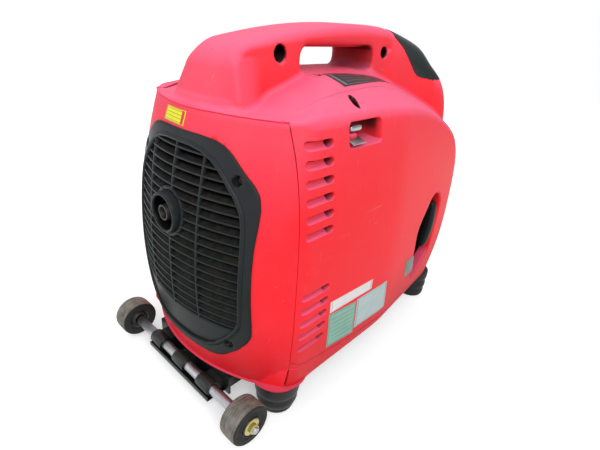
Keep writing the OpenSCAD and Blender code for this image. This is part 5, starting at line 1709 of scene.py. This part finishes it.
def turned_set(name, sets, node, slot):
    """One mesh of several turned pieces. Each set is a profile from its base to its top, a centre point,
    an axis and the number of sides: 6 makes a hexagon."""
    points, faces, start = [], [], 0
    for profile, centre, axis, count in sets:
        axis = np.array(axis, float) / np.linalg.norm(axis)
        side = np.cross(axis, [0, 0, 1.0] if abs(axis[2]) < 0.9 else [1.0, 0, 0])
        side /= np.linalg.norm(side)
        across, up, on = np.split(turned(profile, count), 3, -1)
        spots = np.array(centre) + across * side + up * np.cross(axis, side) + on * axis
        rows, cols = spots.shape[:2]
        faces.append(grid_quads(rows, cols, start, close_u=True).reshape(-1, 4))
        points.append(spots.reshape(-1, 3))
        start += rows * cols
    piece = poly_mesh(name, *weld(np.vstack(points), halved(np.vstack(faces))))
    split = piece.modifiers.new("crisp_edge", "EDGE_SPLIT")
    split.split_angle = math.radians(48)
    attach(piece, "housing")
    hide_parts(node)
    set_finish(piece, slot)


print("a square of 4 points, rounded twice, has", len(rounded([(0, 0), (1, 0), (1, 1), (0, 1)])), "points")

# %% Exhaust ring
ring_profile = rounded([(19.0, 234.5), (23.9, 234.5), (23.9, 248.0), (23.4, 251.5), (22.6, 253.4),
                        (20.4, 253.4), (19.2, 251.5), (19.0, 244.0)])
ring_shape = turned(ring_profile)
ring_points = np.stack([-ring_shape[..., 2], ring_y + ring_shape[..., 0], ring_z + ring_shape[..., 1]], -1)
# Painted shade: black on the ring's inner side.
ring_dark = np.broadcast_to(smooth01((20.6 - ring_profile[:, 0]) / 1.0), ring_points.shape[:2])
exhaust_ring = grid_mesh("exhaust_ring", ring_points, close_u=True, close_v=True, flip=True,
                         extra={"hollow": ring_dark})
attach(exhaust_ring, "housing")
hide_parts("exhaust_outlet")
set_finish(exhaust_ring, "black_plastic")
print("exhaust ring:", len(exhaust_ring.data.polygons), "quads")

# %% Tyres and hubs
tyre_profile = rounded([
    (12.2, -13.2), (20.5, -13.3), (24.0, -13.2), (25.6, -10.5), (25.7, 0.0), (25.6, 10.5), (24.0, 13.2),
    (21.4, 13.4), (20.2, 12.9), (19.6, 11.2), (15.2, 11.0), (14.6, 12.6), (12.2, 12.8)])
hub_profile = rounded([(6.6, -13.0), (9.4, -13.2), (10.2, -11.0), (11.9, -11.2), (11.9, 12.0), (11.4, 13.3),
                       (10.2, 13.3), (9.6, 11.6), (6.6, 11.4)], 1)
for side_name, sign in (("near", -1), ("far", 1)):
    low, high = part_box(side_name + "_tyre")
    middle = (low.y + high.y) / 2 / mm
    for part, profile, slot in (("tyre", tyre_profile, "tyre"), ("hub", hub_profile, "hub_grey")):
        across, up, outwards = np.moveaxis(turned(profile, 120), -1, 0)
        spots = np.stack([axle_x + across, middle + sign * outwards, axle_z + up], -1)
        name = side_name + "_" + part + "_shell"
        piece = grid_mesh(name, spots, close_u=True, close_v=True, flip=sign > 0)
        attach(piece, side_name + "_wheel")
        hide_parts(side_name + "_" + part)
        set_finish(piece, slot)
    print(side_name, "wheel, middle at y =", round(middle, 1))

# %% Feet
# Profiles are points of (radius, height above the ground).
rear_rings = [
    (0.0, 0.0), (17.0, 0.0), (19.6, 0.6), (21.8, 2.6), (22.9, 6.0), (22.6, 8.6), (22.9, 9.6), (25.0, 11.4),
    (26.4, 16.0), (26.6, 21.0), (25.9, 25.4), (26.2, 26.6), (27.8, 28.4), (28.7, 33.0), (29.2, 40.0),
    (29.4, 45.6), (28.6, 46.2), (0.0, 46.2)]
front_rings = [
    (0.0, 0.0), (18.0, 0.0), (21.0, 1.0), (22.8, 5.5), (23.0, 11.0), (21.8, 14.0), (21.9, 16.0),
    (23.8, 18.5), (24.4, 24.0), (23.8, 29.0), (22.6, 31.5), (22.8, 33.5), (24.8, 36.0), (25.5, 42.0),
    (25.2, 49.0), (24.6, 50.0), (0.0, 50.0)]
flare = [
    (0.0, 45.4), (28.4, 45.4), (29.3, 45.9), (30.0, 47.2), (31.2, 49.5), (33.4, 52.5), (36.4, 55.5),
    (0.0, 55.5)]
feet = (("rear_foot_rubbers", rear_rings, -180, 110, "rear_feet", "rubber"),
        ("front_foot_rubbers", front_rings, 180, 97.5, "front_feet", "rubber"),
        ("foot_flares", flare, -180, 110, "foot_pedestals", "red_plastic"))
for name, profile, x, y, node, slot in feet:
    turned_set(name, [(profile, (x, sign * y, 0), (0, 0, 1), 96) for sign in (-1, 1)], node, slot)
print("feet:", [row[0] for row in feet])

# %% Bolts of the wheels
bolt_y = 139.2
washer = [(0.0, -1.6), (9.8, -1.6), (10.4, -1.2), (10.4, 0.2), (9.9, 0.6), (0.0, 0.6)]
nut = [(0.0, 0.5), (6.2, 0.5), (6.6, 1.0), (6.6, 4.2), (6.0, 5.2), (4.4, 5.5), (0.0, 5.5)]
tip = [(0.0, 5.0), (4.1, 5.0), (4.1, 7.4), (3.6, 8.1), (0.0, 8.1)]
bolt_rows = (("bolt_washers", washer, 64, "yellow_zinc"), ("bolt_nuts", nut, 6, "yellow_zinc"),
             ("bolt_tips", tip, 32, "zinc_steel"))
for name, profile, sides, slot in bolt_rows:
    ends = [(profile, (axle_x, sign * bolt_y, axle_z), (0, sign, 0), sides) for sign in (-1, 1)]
    turned_set(name, ends, "wheel_bolts", slot)
print("bolt pieces:", [row[0] for row in bolt_rows])

# %% [markdown]
# ## Bracket rail
# The wheel bracket ends in a folded strip of sheet steel. It is one section with a rounded fold, carried
# along Y and closed at both ends by drawing the section in to its own heart.

# %% Bracket rail
plate = np.array([(-231, 24.2), (-257.2, 24.2), (-258.0, 25.0), (-258.0, 30.6), (-257.6, 31.0),
                  (-256.9, 31.0), (-256.5, 30.6), (-256.5, 25.8), (-231, 25.8)])
rail_run = np.array([-69.0, -69.0, -68.6, 65.6, 66.0, 66.0])
closed_ends = np.array([0, 1, 1, 1, 1, 0])[:, None, None]
heart = np.array([-250.0, 26.0])
spots = heart + (plate[None] - heart) * closed_ends
rail_y = np.broadcast_to(rail_run[:, None], spots.shape[:2])
rail_points = np.stack([spots[..., 0], rail_y, spots[..., 1]], -1)
rail = grid_mesh("bracket_rail", rail_points, close_v=True, flip=True)
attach(rail, "housing")
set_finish(rail, "black_steel")
print("rail:", rail_run[-1] - rail_run[0], "mm long")

# %% [markdown]
# ## Starter grip and fuel lever
# The grip is a T-handle in soft black plastic: a long oval section that swells in the middle and bows
# outwards. The lever's knob is a plated bar with rounded ends. Both are sections carried along a short
# line.

# %% Ovals and the CAD pieces' boxes
oval_a = np.linspace(0, 2 * math.pi, 48, endpoint=False)
round_x, round_y = np.cos(oval_a), np.sin(oval_a)
oval_x, oval_y = (np.sign(v) * np.abs(v) ** 0.75 for v in (round_x, round_y))


def box_mm(node):
    """The two corners of a CAD node's box, in housing millimetres."""
    return [np.array(corner) / mm - [shift, 0, 0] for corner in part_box(node)]


def pin(x, y, z, rx, rz, closes):
    """A pin along Y: circles with the given radii at each station of y, or a single point where closes is
    0."""
    closes = np.array(closes)
    return np.stack([x + rx * round_x[:, None] * closes, np.broadcast_to(y, (48, len(y))),
                     z + rz * round_y[:, None] * closes], -1)


print("oval section points:", len(oval_a))

# %% Starter grip
(gx0, gy0, gz0), (gx1, gy1, gz1) = box_mm("recoil_grip")
lean = math.tan(math.radians(14)) * 0.52
bar_r = (8.0, 8.8)
half_z = (gz1 - gz0) / 2
t = np.linspace(-1, 1, 61)
swell = np.sqrt(np.clip(1 - np.abs(t) ** 7, 0, 1)) * (0.90 + 0.10 * np.cos(t * math.pi / 2))
swell[[0, -1]] = 0
grip_x = (gx0 + gx1) / 2 + t * lean * half_z + 3.0 * (1 - t**2) - 1.0
grip_y = gy0 + 9.5 + 1.6 * t**2
grip_z = (gz0 + gz1) / 2 + t * (half_z - 0.4)
grip_points = np.stack([grip_x[:, None] + swell[:, None] * bar_r[0] * oval_x,
                        grip_y[:, None] + swell[:, None] * bar_r[1] * oval_y,
                        np.broadcast_to(grip_z[:, None], (61, 48))], -1)
grip = grid_mesh("starter_grip_shell", grip_points, close_v=True, flip=True)
stem = pin((gx0 + gx1) / 2, [gy0 + 10, gy1 - 1, gy1, gy1], (gz0 + gz1) / 2, 5.0, 5.0, [1, 1, 1, 0])
grip_stem = grid_mesh("starter_grip_stem", stem, close_u=True)
for piece in (grip, grip_stem):
    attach(piece, "starter_grip")
    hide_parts("recoil_grip")
    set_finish(piece, "black_plastic")
print("grip height, mm:", round(gz1 - gz0, 1))

# %% Fuel lever
(lx0, ly0, _), (lx1, ly1, lz1) = box_mm("fuel_lever")
t = np.linspace(-1, 1, 41)
swell = np.sqrt(np.clip(1 - np.abs(t) ** 5, 0, 1))
knob_x = (lx0 + lx1) / 2 + 3 + t * ((lx1 - lx0) / 2)
knob = np.stack([np.broadcast_to(knob_x[:, None], (41, 48)),
                 (ly0 + 3.6) + swell[:, None] * 3.5 * oval_y,
                 (lz1 - 3.4) + swell[:, None] * 3.3 * oval_x], -1)
lever_knob = grid_mesh("fuel_lever_knob", knob, close_v=True)
shank = pin((lx0 + lx1) / 2, [ly0 + 4, ly0 + 4, ly0 + 9, ly1, ly1], lz1 - 4.2, 3.2, 2.4, [0, 1, 1, 1, 0])
lever_shank = grid_mesh("fuel_lever_shank", shank, close_u=True)
for piece in (lever_knob, lever_shank):
    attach(piece, "lever")
    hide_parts("fuel_lever")
    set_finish(piece, "zinc_steel")
print("lever knob length, mm:", round(lx1 - lx0, 1))

# %% [markdown]
# ## Screws and small blocks
# Cover screws sit deep in round recesses, so only a dark head shows. They are turned like the feet, each
# along the direction of its own recess. The lever's pedestal and plate are small solids with softened
# edges.

# %% Screws
pan = np.array([(0.0, -1.0), (4.3, -1.0), (4.6, -0.4), (4.5, 1.2), (3.6, 2.2), (2.3, 2.4), (2.0, 1.0),
                (0.0, 0.8)])
deep = []
for y, z in ((-83.0, 304.0), (83.0, 304.0), (-82.0, 110.0), (82.0, 110.0)):
    seat, above_seat = rear_spot(y, z, -7.0), rear_spot(y, z, -6.0)
    deep.append((pan * [0.95, 1], seat, above_seat - seat, 40))
for way in (-1, 1):
    deep += [(pan, (x, way * 24.0, hole_z), (0, way, 0), 40) for x in (rear_hole_x, front_hole_x)]
    deep.append((pan * 0.8, (-87.5, way * 113.4, 359.0), (0, 0, 1), 40))
turned_set("recessed_screws", deep, "cover_screws", "black_steel")
low_pan = pan * [0.75, 0.7] + [0, 0.7]
flush = [(low_pan, (218.0, y, z), (1, 0, 0), 40) for y in (-75.5, 75.5) for z in (109.5, 270.5)]
turned_set("panel_screws", flush, "cover_screws", "black_steel")
print("screws:", len(deep) + len(flush))

# %% Small blocks


def little_block(name, low, high, slot, round_off, rise=0.0):
    """A small solid with eight corners and softened edges; its inner side is lifted by the rise."""
    x, y, z = [np.array([a, b], float) for a, b in zip(low, high)]
    corners = np.stack(np.meshgrid(x, y, z, indexing="ij"), -1).reshape(-1, 3)
    corners[:, 2] += rise * (corners[:, 1] > y.mean())
    faces = [(0, 1, 3, 2), (4, 6, 7, 5), (0, 4, 5, 1), (2, 3, 7, 6), (0, 2, 6, 4), (1, 5, 7, 3)]
    piece = poly_mesh(name, corners, faces)
    soft = piece.modifiers.new("soft_edge", "BEVEL")
    soft.width = round_off * mm
    soft.segments = 3
    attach(piece, "housing")
    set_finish(piece, slot)


little_block("lever_pedestal", (-110, -130, 334.0), (-97, -116, 344.0), "red_plastic", 3.0)
little_block("lever_plate", (-116, -139.5, 335.2), (-94, -127, 336.1), "zinc_steel", 0.3, 4.5)
print("blocks: lever pedestal and plate")

# %% [markdown]
# ## Labels
# The labels carry no words or signs: a plain field with a border and a few ruled lines keeps the colour
# and size that such a sticker has on the real machine. The mesh carries how far across and up each point
# is, so the lines follow the sticker over any curve.

# %% Finish of a label


def label_finish(name, ground, ink, rows, share, head=None, head_at=0.8, upright=False):
    """A printed sticker: a ground colour, a thin frame and ruled lines in an ink colour, and an optional
    header past a share of its height, or of its width where upright. A rule takes twice its share of a
    row."""
    made = bpy.data.materials.new(name)
    tree = add_tree(made)
    place = add_node(tree, "ShaderNodeTexCoord").outputs["Object"]
    u, v = attribute_of(tree, "across"), attribute_of(tree, "up")
    rim_u = math_of(tree, "MINIMUM", u, math_of(tree, "SUBTRACT", 1.0, u))
    rim_v = math_of(tree, "MINIMUM", v, math_of(tree, "SUBTRACT", 1.0, v))
    rim = math_of(tree, "MINIMUM", rim_u, rim_v)
    frame_line = product(tree, band(tree, rim, 0.030, 0.036), band(tree, rim, 0.056, 0.050))
    row = math_of(tree, "FRACT", product(tree, v, float(rows)))
    low, high = 0.5 - share, 0.5 + share
    rule = product(tree, band(tree, row, low, low + 0.06), band(tree, row, high, high - 0.06))
    within_u = product(tree, band(tree, u, 0.10, 0.11), band(tree, u, 0.90, 0.89))
    within_v = product(tree, band(tree, v, 0.10, 0.12), band(tree, v, 0.90, 0.88))
    rules = product(tree, rule, product(tree, within_u, within_v))
    print_mask = math_of(tree, "MAXIMUM", rules, frame_line)
    grains = use(tree, grain_group, Vector=place, Grain_Scale=1200.0, Patch_Scale=60.0)
    faded = rgb(*[c * 0.72 for c in ground])
    color = blend_of(tree, product(tree, grains["Patch"], 0.25), rgb(*ground), faded)
    color = blend_of(tree, product(tree, print_mask, 0.8), color, rgb(*ink))
    if head:
        past = band(tree, u if upright else v, head_at, head_at + 0.01)
        color = blend_of(tree, product(tree, past, band(tree, rim, 0.05, 0.055)), color, rgb(*head))
    marks = use(tree, scuff_group, Vector=place, Scale=1.0, Amount=0.5)["Mask"]
    color = blend_of(tree, marks, color, rgb(0.6, 0.58, 0.55))
    roughness = math_of(tree, "MULTIPLY_ADD", grains["Patch"], 0.15, 0.35)
    shader = add_node(tree, "ShaderNodeBsdfPrincipled", Base_Color=color, Roughness=roughness)
    add_node(tree, "ShaderNodeOutputMaterial", shader.outputs[0])
    return made


print("label finish ready")

# %% Seats and stickers
film = 0.2
proud = 0.25


def on_side(x, z):
    """Just outside the near side wall."""
    return np.stack([x, wall_y(x, z) - 0.22, z], -1)


def seated(start, aim, steps=60):
    """Just outside the body, where rays in one direction stop."""
    spots = shoot(body, start, np.broadcast_to(aim, start.shape), 200, steps)
    return spots + normals_of(body, spots) * proud


def on_shoulder(x, y):
    """On the shoulder from above, with the near edge of the label bowed outwards by 7 mm as it follows
    the curve."""
    bow = np.sin(math.pi * np.clip((x + 74) / 162, 0, 1)) * np.clip((-44 - y) / 40, 0, 1)
    return seated(np.stack([x, y - 7 * bow, 0 * x + 300.0], -1), [0, 0, 1.0])


def on_rear(y, z):
    """On the rear cover, from inside the housing."""
    return seated(np.stack([0 * y + fan_x, y, z], -1), [-1.0, 0, 0])


def sticker(name, corners, seat, finish, n=18):
    """A thin sheet between four flat corners, listed round from lower left and blended in two directions,
    seated on a surface by seat(a, b)."""
    c = np.array(corners, float)
    u, v = np.meshgrid(np.linspace(0, 1, n), np.linspace(0, 1, n), indexing="ij")
    shares = ((1 - u) * (1 - v), u * (1 - v), u * v, (1 - u) * v)
    flat2 = sum(corner * share[..., None] for corner, share in zip(c, shares))
    piece = grid_mesh(name, seat(flat2[..., 0], flat2[..., 1]), extra={"across": u, "up": v})
    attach(piece, "housing")
    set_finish(piece, "white_plastic")
    piece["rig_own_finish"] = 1
    piece.data.materials.append(finish)
    back = piece.modifiers.new("film", "SOLIDIFY")
    back.thickness = film * mm
    back.offset = -1


print("film of a sticker:", film, "mm")

# %% The six stickers
sticker("rear_sticker", [(39, 341.8), (-2.5, 341.4), (-4, 356.2), (36.5, 356.2)], on_rear,
        label_finish("yellow_sticker", (0.90, 0.84, 0.01), (0.06, 0.05, 0.02), 4, 0.10, (0.72, 0.02, 0.02),
                     0.84, True))
sticker("side_strip_sticker", [(-137, 140.5), (-51, 136), (-51, 151), (-138, 157)], on_side,
        label_finish("white_sticker", (0.80, 0.80, 0.78), (0.45, 0.42, 0.42), 3, 0.06))
sticker("side_green_sticker", [(-132, 83), (-76, 75), (-83, 131.5), (-138, 138.5)], on_side,
        label_finish("green_sticker", (0.20, 0.46, 0.34), (0.07, 0.22, 0.18), 8, 0.12))
sticker("side_blue_sticker", [(-75, 81), (2, 77), (-11, 130), (-81, 133)], on_side,
        label_finish("pale_blue_sticker", (0.44, 0.58, 0.57), (0.17, 0.24, 0.25), 7, 0.05))
sticker("side_grey_sticker", [(58, 101), (92, 96), (82, 130), (50, 135)], on_side,
        label_finish("grey_green_sticker", (0.13, 0.18, 0.145), (0.07, 0.10, 0.08), 6, 0.09))
sticker("shoulder_sticker", [(-74, -88.5), (84, -54), (86, -50), (-77, -43.5)], on_shoulder,
        label_finish("dark_sticker", (0.020, 0.020, 0.023), (0.20, 0.20, 0.21), 7, 0.10,
                     (0.70, 0.015, 0.03)))
print("stickers: 6, with no words on them")

# %% [markdown]
# ## Finishes on every piece
# Each new piece and each CAD solid takes the finish of its own material slot. Edges of the solids are
# first welded and given a small bevel, because a moulded or turned edge is never a perfect corner and
# catches light.

# %% Finishes by slot
bevel_limit = 60000  # CAD solids with more faces than this are fine enough already
slot_of = {}
for row in frame["record"]["subparts"]:
    own_slot = row.get("material_slot") or row.get("material") or row.get("slot")
    slot_of[row.get("node") or row.get("name")] = own_slot
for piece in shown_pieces():
    if piece.name in slot_of and not piece.hide_render and len(piece.data.polygons) < bevel_limit:
        joined = piece.modifiers.new("weld", "WELD")
        joined.merge_threshold = 0.002 * mm
        edge = piece.modifiers.new("soft_edge", "BEVEL")
        edge.width = 0.35 * mm
        edge.segments = 2
        edge.limit_method = "ANGLE"
        edge.angle_limit = math.radians(50)
        edge.harden_normals = True
    if piece.get("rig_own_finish"):
        continue
    key = piece.get("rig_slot") or slot_of.get(piece.name)
    key = "soot" if piece.name == "muffler" else key
    if key is None:
        print("no slot for", piece.name)
        continue
    piece.data.materials.clear()
    piece.data.materials.append(finishes[key])

# %% Sizes and finish
low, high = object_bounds()
